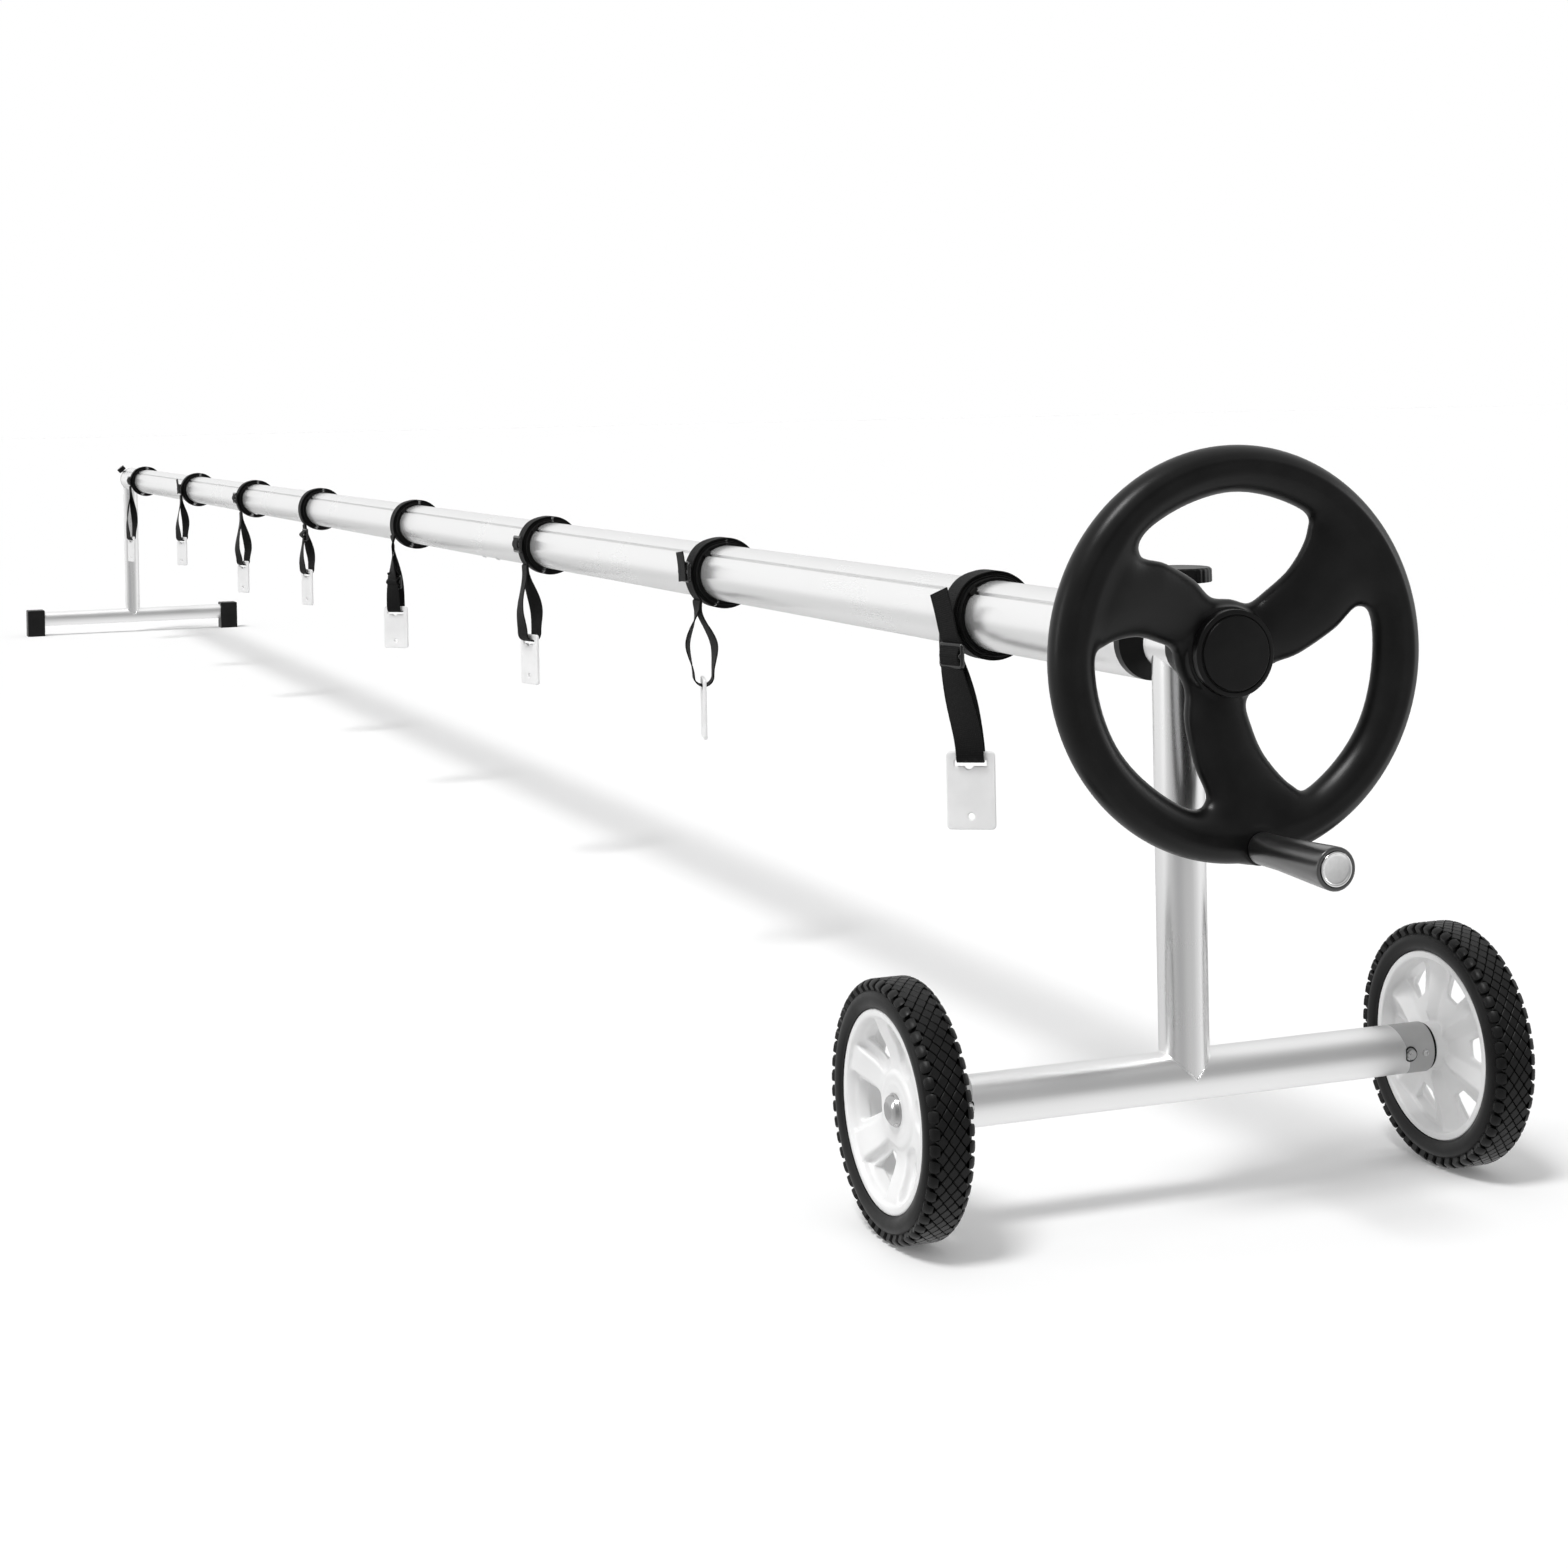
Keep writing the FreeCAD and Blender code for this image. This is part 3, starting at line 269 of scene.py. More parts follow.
def make_piece(name, verts, faces, material, smooth=True, uv=None, closed=True):
    """A mesh object from vertices in metres.  uv gives one pair for each vertex."""
    mesh = bpy.data.meshes.new(name)
    mesh.from_pydata([tuple(v) for v in verts], [], [tuple(int(i) for i in f) for f in faces])
    mesh.polygons.foreach_set("use_smooth", [smooth] * len(mesh.polygons))
    mesh.materials.append(material)
    if uv is not None:
        corner = np.zeros(len(mesh.loops), int)
        mesh.loops.foreach_get("vertex_index", corner)
        layer = mesh.uv_layers.new(name="UVMap")
        layer.data.foreach_set("uv", np.asarray(uv, float)[corner].ravel())
    tidy = bmesh.new()
    tidy.from_mesh(mesh)
    bmesh.ops.remove_doubles(tidy, verts=tidy.verts, dist=0.000001)
    if closed:
        bmesh.ops.recalc_face_normals(tidy, faces=tidy.faces)
    tidy.to_mesh(mesh)
    tidy.free()
    mesh.update()
    return in_scene(name, mesh)


def place(piece, body, slot, *nodes):
    """Ride a piece on its body instead of the CAD nodes named; slot is not used."""
    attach(piece, body)
    if nodes:
        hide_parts(*nodes)
    return piece


def soften_by_angle(piece, degrees=35):
    """Keep edges sharper than an angle crisp, and smooth the rest."""
    piece.data.set_sharp_from_angle(angle=math.radians(degrees))
    return piece


def lathe(profile, origin, axis, segments):
    """Vertices and faces of a turned shape from (along, radius) in mm, closed at radius 0."""
    axis = Vector(axis).normalized()
    side = axis.orthogonal().normalized()
    up = axis.cross(side)
    verts, rings = [], []
    for along, radius in profile:
        centre = Vector(origin) + axis * along * MM
        if radius < 1e-6:
            rings.append([len(verts)])
            verts.append(centre)
            continue
        rings.append(list(range(len(verts), len(verts) + segments)))
        for i in range(segments):
            turn = 2 * math.pi * i / segments
            verts.append(centre + (side * math.cos(turn) + up * math.sin(turn)) * radius * MM)
    faces = []
    for a, b in zip(rings, rings[1:]):
        for i in range(segments):
            j = (i + 1) % segments
            if len(a) == 1 and len(b) > 1:
                faces.append((a[0], b[i], b[j]))
            elif len(b) == 1 and len(a) > 1:
                faces.append((a[j], a[i], b[0]))
            elif len(a) > 1:
                faces.append((a[j], a[i], b[i], b[j]))
    return verts, faces


def turned_piece(name, profile, start, segments, material):
    """A turned shape that lies along X."""
    verts, faces = lathe(profile, start, (1, 0, 0), segments)
    return soften_by_angle(make_piece(name, verts, faces, material), 50)


def bridge(first, rows, count, closed=False):
    """Quads between rows of count points, each row a closed ring, from a first vertex on."""
    quads = []
    for row in range(rows if closed else rows - 1):
        a, b = first + row * count, first + (row + 1) % rows * count
        quads += [(a + i, a + (i + 1) % count, b + (i + 1) % count, b + i) for i in range(count)]
    return quads


def rounded(points, radius, steps=4):
    """A profile with its inner corners rounded, the first and last points kept."""
    out = [points[0]]
    for before, here, after in zip(points, points[1:], points[2:]):
        a, h, b = (np.array(p[:2], float) for p in (before, here, after))
        to_a, to_b = a - h, b - h
        reach = min(radius, np.linalg.norm(to_a) * 0.45, np.linalg.norm(to_b) * 0.45)
        start = h + to_a / np.linalg.norm(to_a) * reach
        end = h + to_b / np.linalg.norm(to_b) * reach
        for i in range(steps + 1):
            t = i / steps
            out.append(tuple((1 - t) ** 2 * start + 2 * t * (1 - t) * h + t ** 2 * end))
    return out + [points[-1]]


def skin(field, low, step):
    """Smooth quads over the zero level of a sampled distance field that is negative inside."""
    inside = field < 0
    size = np.array(field.shape)
    total = np.zeros(size - 1, int)
    for i in (0, 1):
        for j in (0, 1):
            for k in (0, 1):
                total += inside[i:size[0] - 1 + i, j:size[1] - 1 + j, k:size[2] - 1 + k]
    cells = np.argwhere((total > 0) & (total < 8))
    index = -np.ones(total.shape, int)
    index[tuple(cells.T)] = np.arange(len(cells))
    crossings = np.zeros((len(cells), 3))
    hits = np.zeros(len(cells))
    for axis in range(3):
        others = [a for a in range(3) if a != axis]
        for a in (0, 1):
            for b in (0, 1):
                start = np.zeros(3, int)
                start[others[0]], start[others[1]] = a, b
                end = start.copy()
                end[axis] = 1
                f0 = field[tuple((cells + start).T)]
                f1 = field[tuple((cells + end).T)]
                crossed = (f0 < 0) != (f1 < 0)
                t = f0[crossed] / (f0[crossed] - f1[crossed])
                point = np.tile(start.astype(float), (crossed.sum(), 1))
                point[:, axis] = t
                crossings[crossed] += point
                hits[crossed] += 1
    verts = np.array(low) + (cells + crossings / hits[:, None]) * step
    faces = []
    for axis in range(3):
        u, v = (axis + 1) % 3, (axis + 2) % 3
        first, second = [slice(None)] * 3, [slice(None)] * 3
        first[axis], second[axis] = slice(0, size[axis] - 1), slice(1, size[axis])
        change = inside[tuple(first)] != inside[tuple(second)]
        at = np.argwhere(change)
        at = at[(at[:, u] > 0) & (at[:, v] > 0)
                & (at[:, u] < size[u] - 1) & (at[:, v] < size[v] - 1)]
        inward = inside[tuple(at.T)]
        du, dv = np.zeros(3, int), np.zeros(3, int)
        du[u], dv[v] = 1, 1
        quad = np.stack([index[tuple(c.T)] for c in (at - du - dv, at - dv, at, at - du)], 1)
        quad[~inward] = quad[~inward][:, ::-1]
        faces.append(quad)
    return verts, np.concatenate(faces)


def grid(low, high, step):
    """Open x, y and z arrays of the sample places in a box."""
    axes = [np.arange(a, b + step, step) for a, b in zip(low, high)]
    return np.meshgrid(*axes, indexing="ij", sparse=True)


def smooth_min(a, b, reach):
    """Join two distance fields with a fillet about reach wide."""
    h = np.clip(0.5 + 0.5 * (b - a) / reach, 0, 1)
    return b * (1 - h) + a * h - reach * h * (1 - h)


def smooth_max(a, b, reach):
    """Keep what two distance fields share, with the edge between them softened."""
    return -smooth_min(-a, -b, reach)


def puck(r, radius, along, mid, half, soft):
    """A short round boss from a distance to its axis and a distance along it, with soft edges."""
    return smooth_max(r - radius, np.abs(along - mid) - half, soft)


def ease(value, low, high):
    """0 below low, 1 above high and a smooth step between."""
    t = np.clip((value - low) / (high - low), 0, 1)
    return t * t * (3 - 2 * t)


def relaxed(verts, faces, rounds):
    """Even out the small steps a sampled field leaves, without shrinking much."""
    faces = np.asarray(faces)
    pairs = np.concatenate([faces[:, [i, (i + 1) % 4]] for i in range(4)])
    for strength in (0.5, -0.52) * rounds:
        total = np.zeros_like(verts)
        count = np.zeros(len(verts))
        np.add.at(total, pairs[:, 0], verts[pairs[:, 1]])
        np.add.at(total, pairs[:, 1], verts[pairs[:, 0]])
        np.add.at(count, pairs.ravel(), 1)
        verts = verts + strength * (total / count[:, None] - verts)
    return verts


def outline_distance(y, z, points):
    """Signed distance on a plane to a closed outline, negative inside."""
    points = np.asarray(points, float)
    best = np.full(np.broadcast(y, z).shape, 1e9)
    inside = np.zeros(best.shape, bool)
    for (ay, az), (by, bz) in zip(points, np.roll(points, -1, 0)):
        ey, ez = by - ay, bz - az
        t = np.clip(((y - ay) * ey + (z - az) * ez) / (ey * ey + ez * ez), 0, 1)
        best = np.minimum(best, (y - ay - t * ey) ** 2 + (z - az - t * ez) ** 2)
        crosses = (az > z) != (bz > z)
        with np.errstate(divide="ignore", invalid="ignore"):
            cut = y < ay + (z - az) / (ez if ez else 1e-9) * ey
        inside ^= crosses & cut
    return np.where(inside, -1, 1) * np.sqrt(best)


def rounded_rectangle(x, z, half_x, half_z, radius):
    """Signed distance on a plane to a rectangle with rounded corners, negative inside."""
    qx, qz = np.abs(x) - half_x + radius, np.abs(z) - half_z + radius
    outside = np.sqrt(np.maximum(qx, 0) ** 2 + np.maximum(qz, 0) ** 2)
    return outside + np.minimum(np.maximum(qx, qz), 0) - radius


def smooth_loop(points, steps=8):
    """A closed curve through points."""
    points = np.asarray(points, float)
    out = []
    for i in range(len(points)):
        p0, p1, p2, p3 = (points[(i + k) % len(points)] for k in (-1, 0, 1, 2))
        for j in range(steps):
            t = j / steps
            out.append(0.5 * (2 * p1 + (p2 - p0) * t + (2 * p0 - 5 * p1 + 4 * p2 - p3) * t ** 2
                              + (3 * p1 - p0 - 3 * p2 + p3) * t ** 3))
    return np.array(out)


# ---- hand wheel
# every x is ahead of the drive stand's middle, in mm
RIM_X, RIM_R, RIM_TUBE = 94.0, 143.8, 16.5
HUB_X, HUB_R, HUB_HALF = 69.0, 36.0, 15.0
BACK_BOSS_X, BACK_BOSS_R, BACK_BOSS_HALF = 46.0, 24.0, 24.0
GRIP_Y, GRIP_DROP, GRIP_PAD_X, GRIP_PAD_R, GRIP_PAD_HALF = 8.0, 147.0, 102.0, 14.0, 8.3
FRONT_X = 110.4       # flat that ends the rim and the grip's pad
HUB_FACE_X = 84.05
SPOKE_DEPTH, SPOKE_THINNER, SPOKE_ROUND = 15.5, 2.0, 27.0
# one opening between two spokes, as (radius, angle in degrees) round its edge
OPENING = ((41, 78), (44, 103), (64, 116), (91, 128.5), (114, 136), (126.5, 126), (127, 92),
           (126.5, 62), (113, 54), (85, 49), (60, 50), (44, 56))


def hand_wheel():
    """Dished wheel: round rim, three swept oval spokes, hub core and back boss, one moulding."""
    step = 1.7
    low = (18.0, -164.0, -164.0)
    x, y, z = grid(low, (116.0, 164.0, 164.0), step)
    r = np.sqrt(y * y + z * z)
    loop = smooth_loop([(a * math.cos(math.radians(d)), a * math.sin(math.radians(d)))
                        for a, d in OPENING])
    openings = []
    for turn in (0, 120, 240):
        c, s = math.cos(math.radians(turn)), math.sin(math.radians(turn))
        openings.append(outline_distance(y[0], z[0], loop @ np.array([[c, s], [-s, c]])))
    away = np.minimum.reduce(openings)[None]
    rim = np.sqrt((r - RIM_R) ** 2 + (x - RIM_X) ** 2) - RIM_TUBE
    middle_x = HUB_X + (RIM_X - HUB_X) * ease(r, 25, 135)
    depth = SPOKE_DEPTH - SPOKE_THINNER * ease(r, 40, 120)
    oval = np.sqrt(np.clip(1 - away / SPOKE_ROUND, 0, None) ** 2 + ((x - middle_x) / depth) ** 2)
    web = np.maximum((oval - 1) * depth, r - RIM_R)
    core = puck(r, HUB_R, x, HUB_X, HUB_HALF, 3.0)
    boss = puck(r, BACK_BOSS_R, x, BACK_BOSS_X, BACK_BOSS_HALF, 2.0)
    from_pin = np.sqrt((y - GRIP_Y) ** 2 + (z + GRIP_DROP) ** 2)
    pad = puck(from_pin, GRIP_PAD_R, x, GRIP_PAD_X, GRIP_PAD_HALF, 2.0)
    shape = rim
    for part, fillet in ((web, 9.0), (core, 2.5), (boss, 5.0), (pad, 5.0)):
        shape = smooth_min(shape, part, fillet)
    shape = np.maximum(shape, x - FRONT_X)
    verts, faces = skin(shape, low, step)
    verts = relaxed(verts, faces, 3)
    verts = verts * MM + np.array([NEAR_X, 0, AXIS_Z])
    piece = make_piece("hand_wheel_moulding", verts, faces, MAT["black"])
    return place(piece, "reel", "black_plastic", "hand_wheel")


def hub_cap():
    """Round cap on the hub's face, with a fine groove inside its edge."""
    face = (NEAR_X + HUB_FACE_X * MM, 0, AXIS_Z)
    profile = rounded([(-4, 0.0), (-4, 21.5), (0, 21.6), (0, 34), (8, 34), (8.4, 30.2), (7.6, 29.6),
                       (7.6, 29.0), (10, 28.6), (10, 0)], 1.2)
    piece = turned_piece("hub_cap_disc", profile, face, 128, MAT["black"])
    return place(piece, "reel", "black_plastic", "hub_cap")


def span_of(node):
    """Where a round node along X starts, and its length and its radius in mm."""
    low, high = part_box(node)
    mid = (low + high) / 2
    return (low.x, mid.y, mid.z), (high.x - low.x) / MM, (high.z - low.z) / 2 / MM


def crank_grip():
    """Tapered sleeve with a soft nose and a recess for its pin's head."""
    start, length = span_of("crank_grip")[:2]
    profile = rounded([(0, 6.2), (0, 12.5), (30, 12.8), (length - 8, 16.2), (length, 16.4),
                       (length, 13.4), (length - 1.6, 13.2), (length - 1.6, 6.2), (0, 6.2)], 2.2, 6)
    piece = turned_piece("crank_grip_sleeve", profile, start, 96, MAT["grip"])
    return place(piece, "crank_grip", "black_plastic", "crank_grip")


def crank_pin():
    """Pin through the grip, with a round head that has a rolled rim and a shallow dish."""
    start, length, head = span_of("crank_bolt")
    profile = rounded([(0, 0), (0, 5.8), (length - 3.2, 5.8), (length - 3.2, head - 0.4),
                       (length - 0.2, head), (length, head - 1.4), (length - 1.1, head - 2.6),
                       (length - 1.5, 0)], 0.9)
    piece = turned_piece("crank_pin_turned", profile, start, 96, MAT["bright"])
    return place(piece, "reel", "steel", "crank_bolt")


# ---- locking screws
def lock_knob():
    """Flat round knob with a skirt and a finely fluted edge."""
    low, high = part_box("lock_knob")
    centre = ((low.x + high.x) / 2, (low.y + high.y) / 2, high.z)
    profile = rounded([(-28, 0), (-28, 12), (-4.5, 12.5), (-4.2, 23.5), (-12, 24.2), (-12, 28),
                       (-1.5, 27.8), (0, 26), (-0.8, 20), (-1.0, 0)], 1.2)
    verts, faces = lathe(profile, centre, (0, 0, 1), 120)
    flutes, flute_depth = 30, 0.6
    for v in verts:
        dx, dy = v.x - centre[0], v.y - centre[1]
        radius = math.hypot(dx, dy) / MM
        if radius > 26.5:
            wave = 0.5 - 0.5 * math.cos(flutes * math.atan2(dy, dx))
            scale = 1 - flute_depth * wave / radius
            v.x, v.y = centre[0] + dx * scale, centre[1] + dy * scale
    piece = soften_by_angle(make_piece("lock_knob_moulding", verts, faces, MAT["black"]), 50)
    return place(piece, "lock_knob", "black_plastic", "lock_knob")


# ---- road wheels
WHEEL_PITCHES = 50    # tread blocks round a tyre
TYRE_R = 100.0
CROWN_HALF = 11.0     # flat half width of the tread
SHOULDER_R = 8.0
HUB_RIM_R, HUB_RIM_THICK, HUB_RIM_HALF = 74.2, 6.4, 16.0
HUB_OUT_R, HUB_BORE_R = 77.45, 6.15
CAP_NUT_H = 7.5


def crown_radius(across):
    """Outside of the tread at a distance from the middle plane: flat crown, round shoulder."""
    over = max(0.0, abs(across) - CROWN_HALF)
    return TYRE_R - SHOULDER_R + math.sqrt(max(0.0, SHOULDER_R ** 2 - over * over))


def tyre(name):
    """Carcass with a banded sidewall, five columns of rhombic blocks and shoulder lugs."""
    centre = middle("tyre_" + name)
    half = [(0, 97.4), (8, 97.2), (12.2, 96.0), (14.8, 93.2), (16.5, 91.0), (17.3, 90.4),
            (18.3, 89.2), (18.9, 86.5), (18.9, 84.5), (18.2, 81.2), (17.4, 79.8), (16.9, 79.2),
            (16.6, 78.4), (16.2, 77.6), (14.0, 77.55)]
    profile = [(-a, r) for a, r in reversed(half)] + half[1:] + [(-14.0, 77.55)]
    verts, faces = lathe(profile, centre, (0, 1, 0), 200)

    def point(turn, across, radius):
        return (centre.x + radius * MM * math.cos(turn), centre.y + across * MM,
                centre.z + radius * MM * math.sin(turn))

    def block(outline, sink):
        """A closed tread block on an outline of (turn, across): sunk foot, wall, narrower top."""
        count = len(outline)
        mid = [sum(p[i] for p in outline) / count for i in (0, 1)]
        first = len(verts)
        for drop, scale in ((sink, 1.06), (0.5, 1.0), (0.0, 0.86)):
            for turn, across in outline:
                t = mid[0] + (turn - mid[0]) * scale
                a = mid[1] + (across - mid[1]) * scale
                verts.append(point(t, a, crown_radius(a) - drop))
        faces.append(tuple(first + i for i in range(count)))
        faces.append(tuple(first + 2 * count + i for i in reversed(range(count))))
        faces.extend((b, a, d, c) for a, b, c, d in bridge(first, 3, count))

    def lug(turn, way):
        """A shoulder lug that wraps over the tyre's corner."""
        outer = [(way * a, crown_radius(a)) for a in (11.9, 13.6, 15.6, 17.2, 18.2)]
        inner = [(way * a, r) for a, r in ((11.4, 95.0), (12.3, 94.2), (13.8, 92.6), (15.0, 91.0),
                                           (15.8, 89.9))]
        first = len(verts)
        widths = (0.28, 0.34, 0.37, 0.35, 0.26)
        for (oa, orad), (ia, irad), width in zip(outer, inner, widths):
            half_turn = width * 2 * math.pi / WHEEL_PITCHES
            for share, a, r in ((-1.05, ia, irad), (-1, oa, orad - 0.5), (-0.75, oa, orad),
                                (0.75, oa, orad), (1, oa, orad - 0.5), (1.05, ia, irad)):
                verts.append(point(turn + half_turn * share, a, r))
        rows, count = len(outer), 6
        start = tuple(range(first, first + count))
        end = tuple(range(first + (rows - 1) * count, first + rows * count))
        sides = bridge(first, rows, count) + [start[::-1], end]
        faces.extend(face if way > 0 else face[::-1] for face in sides)

    pitch = 2 * math.pi / WHEEL_PITCHES
    for index in range(WHEEL_PITCHES):
        for column in range(-2, 3):
            turn = (index + 0.5 * (column % 2)) * pitch
            across = column * 4.7
            long, wide = 0.43 * pitch, 4.0
            corners = ((-1, 0), (-0.12, -1), (0.12, -1), (1, 0), (0.12, 1), (-0.12, 1))
            block([(turn + long * a, across + wide * b) for a, b in corners], 4.0)
        for way in (-1, 1):
            lug((index + 0.5) * pitch, way)
    piece = soften_by_angle(make_piece("tyre_tread_" + name, verts, faces, MAT["tyre"]), 32)
    return place(piece, name + "_wheel", "tyre_rubber", "tyre_" + name)


def wheel_hub(side, name):
    """Moulded hub: deep rim, dished face with six broad spokes and windows, ridged back, boss."""
    step = 1.15
    centre = middle("tyre_" + name)
    low = (-80.0, -24.0, -80.0)
    x, y, z = grid(low, (80.0, 19.0, 80.0), step)
    r = np.sqrt(x * x + z * z)
    turn = np.arctan2(z, x) - math.radians(6)
    sector = math.pi / 3
    window_turn = (turn + sector / 2) % sector - sector / 2
    spoke_turn = turn % sector - sector / 2
    rim = puck(np.abs(r - HUB_RIM_R), HUB_RIM_THICK / 2, y, 0, HUB_RIM_HALF, 1.2)
    front = 2.4 + 10.6 * ease(r, 36, 73)
    ridge = np.clip(1 - r * np.abs(spoke_turn) / (3.0 + 0.17 * r), 0, 1)
    back = -(2.6 + 8.5 * (1 - ease(r, 20, 66)) + 7.0 * ridge * ease(r, 10, 30))
    disc = smooth_max(smooth_max(y - front, back - y, 0.8), r - 74.0, 1.0)
    across = np.abs(r * np.sin(window_turn))
    along = r * np.cos(window_turn)

    def trapezium(inner, outer, half, flare, soft):
        sides = (across - half - (along - inner) * flare) * 0.87
        ends = np.maximum(inner - along, r - outer)
        return smooth_max(sides, ends, soft)

    hollow = trapezium(33.0, 70.0, 8.0, 0.5, 5.0)
    bed = front - 3.2 - 5.0 * ease(along, 33, 52) + 3.0 * ease(along, 60, 70)
    shape = smooth_max(disc, -smooth_max(hollow, bed - y, 3.0), 2.2)
    window = trapezium(43.0, 68.5, 6.5, 0.42, 2.5)
    shape = smooth_max(shape, -window, 1.0)
    plinth = puck(r, 29.0, y, 0, 4.3, 2.4)
    boss = puck(r, 20.6 - 0.1 * np.abs(y), y, -8.8, 13.0, 1.0)
    for part, fillet in ((plinth, 2.0), (boss, 1.5), (rim, 3.0)):
        shape = smooth_min(shape, part, fillet)
    shape = smooth_max(shape, HUB_BORE_R - r, 0.5)
    shape = np.maximum(shape, r - HUB_OUT_R)
    verts, faces = skin(shape, low, step)
    verts = relaxed(verts, faces, 1)
    verts[:, 1] *= side
    if side < 0:
        faces = faces[:, ::-1]
    verts = verts * MM + np.array(centre)
    piece = make_piece("wheel_hub_" + name, verts, faces, MAT["white"])
    return place(piece, name + "_wheel", "white_plastic", "hub_" + name)


def cap_nuts():
    """Domed push-on nuts with a rolled edge."""
    low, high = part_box("cap_nuts")
    verts, faces = [], []
    for side, start in ((-1, low.y), (1, high.y)):
        base = (NEAR_X, start - side * CAP_NUT_H * MM, middle("tyre_left").z)
        profile = rounded([(0.1, 0), (0.1, 13.0), (1.3, 13.0), (1.8, 12.2), (4.2, 11.2), (6.6, 7.6),
                           (7.4, 0)], 1.5)
        v, f = lathe(profile, base, (0, side, 0), 64)
        faces += [tuple(i + len(verts) for i in face) for face in f]
        verts += v
    piece = soften_by_angle(make_piece("cap_nut_domes", verts, faces, MAT["nut"]), 60)
    return place(piece, "drive_stand", "steel", "cap_nuts")


# ---- webbing
WEB_W, WEB_T = 25.0, 1.6
WRAP_T = 1.4          # webbing pressed flat on the drum
STRAND_GAP = 0.95     # half the gap between a tail's two strands where they touch


def strip(path, across, closed, thick, start):
    """A webbing strip along path points (mm), a width direction at each: vertices, faces, uv."""
    path, across = np.asarray(path, float), np.asarray(across, float)
    if closed:
        along = np.roll(path, -1, 0) - np.roll(path, 1, 0)
    else:
        along = np.gradient(path, axis=0)
    along /= np.linalg.norm(along, axis=1)[:, None]
    across = across - (across * along).sum(1)[:, None] * along
    across /= np.linalg.norm(across, axis=1)[:, None]
    normal = np.cross(along, across)
    w, t, edge = WEB_W / 2, thick / 2, 0.5
    section = [(-w + edge, -t), (-w / 2, -t), (0, -t), (w / 2, -t), (w - edge, -t), (w, 0),
               (w - edge, t), (w / 2, t), (0, t), (-w / 2, t), (-w + edge, t), (-w, 0)]
    count = len(section)
    length = np.concatenate([[0], np.cumsum(np.linalg.norm(np.diff(path, axis=0), axis=1))])
    verts, uv = [], []
    for p, a, n, far in zip(path, across, normal, length):
        verts += [p + a * u + n * v for u, v in section]
        uv += [(u / WEB_W + 0.5, far * MM) for u, v in section]
    rows = len(path)
    faces = bridge(start, rows, count, closed)
    if not closed:
        last = start + (rows - 1) * count
        faces += [tuple(range(start, start + count))[::-1], tuple(range(last, last + count))]
    return verts, faces, uv


def joined_strips(name, strips, thick=WEB_T):
    """One object from several strips, each a path, its width directions and whether it closes."""
    verts, faces, uv = [], [], []
    for path, across, closed in strips:
        v, f, t = strip(path, across, closed, thick, len(verts))
        verts += v
        faces += f
        uv += t
    return soften_by_angle(make_piece(name, np.array(verts) * MM, faces, MAT["web"], uv=uv), 50)


def webbing_piece(name, strips, body, *nodes):
    return place(joined_strips(name, strips), body, "webbing", *nodes)


def eye(k):
    """Where a strap's tail swings, at the ring."""
    return Vector(JOINTS["strap_%d_swing" % k]["pos_m"])


def pivot(k):
    """Where a strap's cover plate swings, in the bottom of the loop."""
    return Vector(JOINTS["plate_%d_swing" % k]["pos_m"])


def turn_of(k):
    """Which way a strap's loop and plate face, about the vertical."""
    axis = JOINTS["plate_%d_swing" % k]["axis"]
    return math.atan2(axis[1], axis[0])


GROOVE_TURN = math.radians(136)
# how far each wound layer sits from the ring's middle towards the hand wheel, inside out, mm
LAYER_SHIFT = (2.6, 2.4, 2.9, -1.2, -1.5, -0.7, -1.8, -1.8)
# how high a short free end stands above the drum axis beside the ring, mm, where a strap has one
FREE_END = {2: 26.0, 7: 27.0}


def strap_rings():
    """Webbing wound in layers from the drum's groove to the place where the tail leaves."""
    strips = []
    steps = 60
    inner, outer = DRUM_R + WRAP_T / 2 + 0.05, DRUM_R + RING_THICK - WRAP_T / 2
    for k in STRAP_NUMBERS:
        e = eye(k)
        leave = math.atan2(e.z - AXIS_Z, e.y)
        turns = 5 + (leave - GROOVE_TURN) % (2 * math.pi) / (2 * math.pi)
        total = int(turns * steps)
        path, across = [], []
        for i in range(total + 1):
            layer = i / total * turns
            turn = leave - 2 * math.pi * (turns - layer)
            low = int(layer)
            climbed = low + ease(layer - low, 0.9, 1.0)
            lift_off = 0.9 * ease(i, total - 5, total)
            radius = inner + (outer - inner) * climbed / int(turns) + lift_off
            step_over = LAYER_SHIFT[low + 1] - LAYER_SHIFT[low]
            shift = LAYER_SHIFT[low] + step_over * ease(layer - low, 0.55, 1.0)
            wobble = 0.3 * math.sin(2.0 * turn + 1.7 * k) + 0.15 * math.sin(5.0 * turn)
            path.append((e.x / MM + shift + wobble, radius * math.cos(turn),
                         AXIS_Z / MM + radius * math.sin(turn)))
            across.append((1, 0.02 * math.sin(turn), 0.0))
        strips.append((path, across, False))
        if k in FREE_END:
            lift = np.linspace(-8, FREE_END[k], 12)
            y = -(DRUM_R + RING_THICK + 6.9) - 0.003 * lift ** 2
            path = [(e.x / MM - 0.1 * a, b, AXIS_Z / MM + a) for a, b in zip(lift, y)]
            strips.append((path, [(1, 0, 0)] * len(path), False))
    return place(joined_strips("strap_wraps", strips, WRAP_T), "reel", "webbing", "strap_rings")


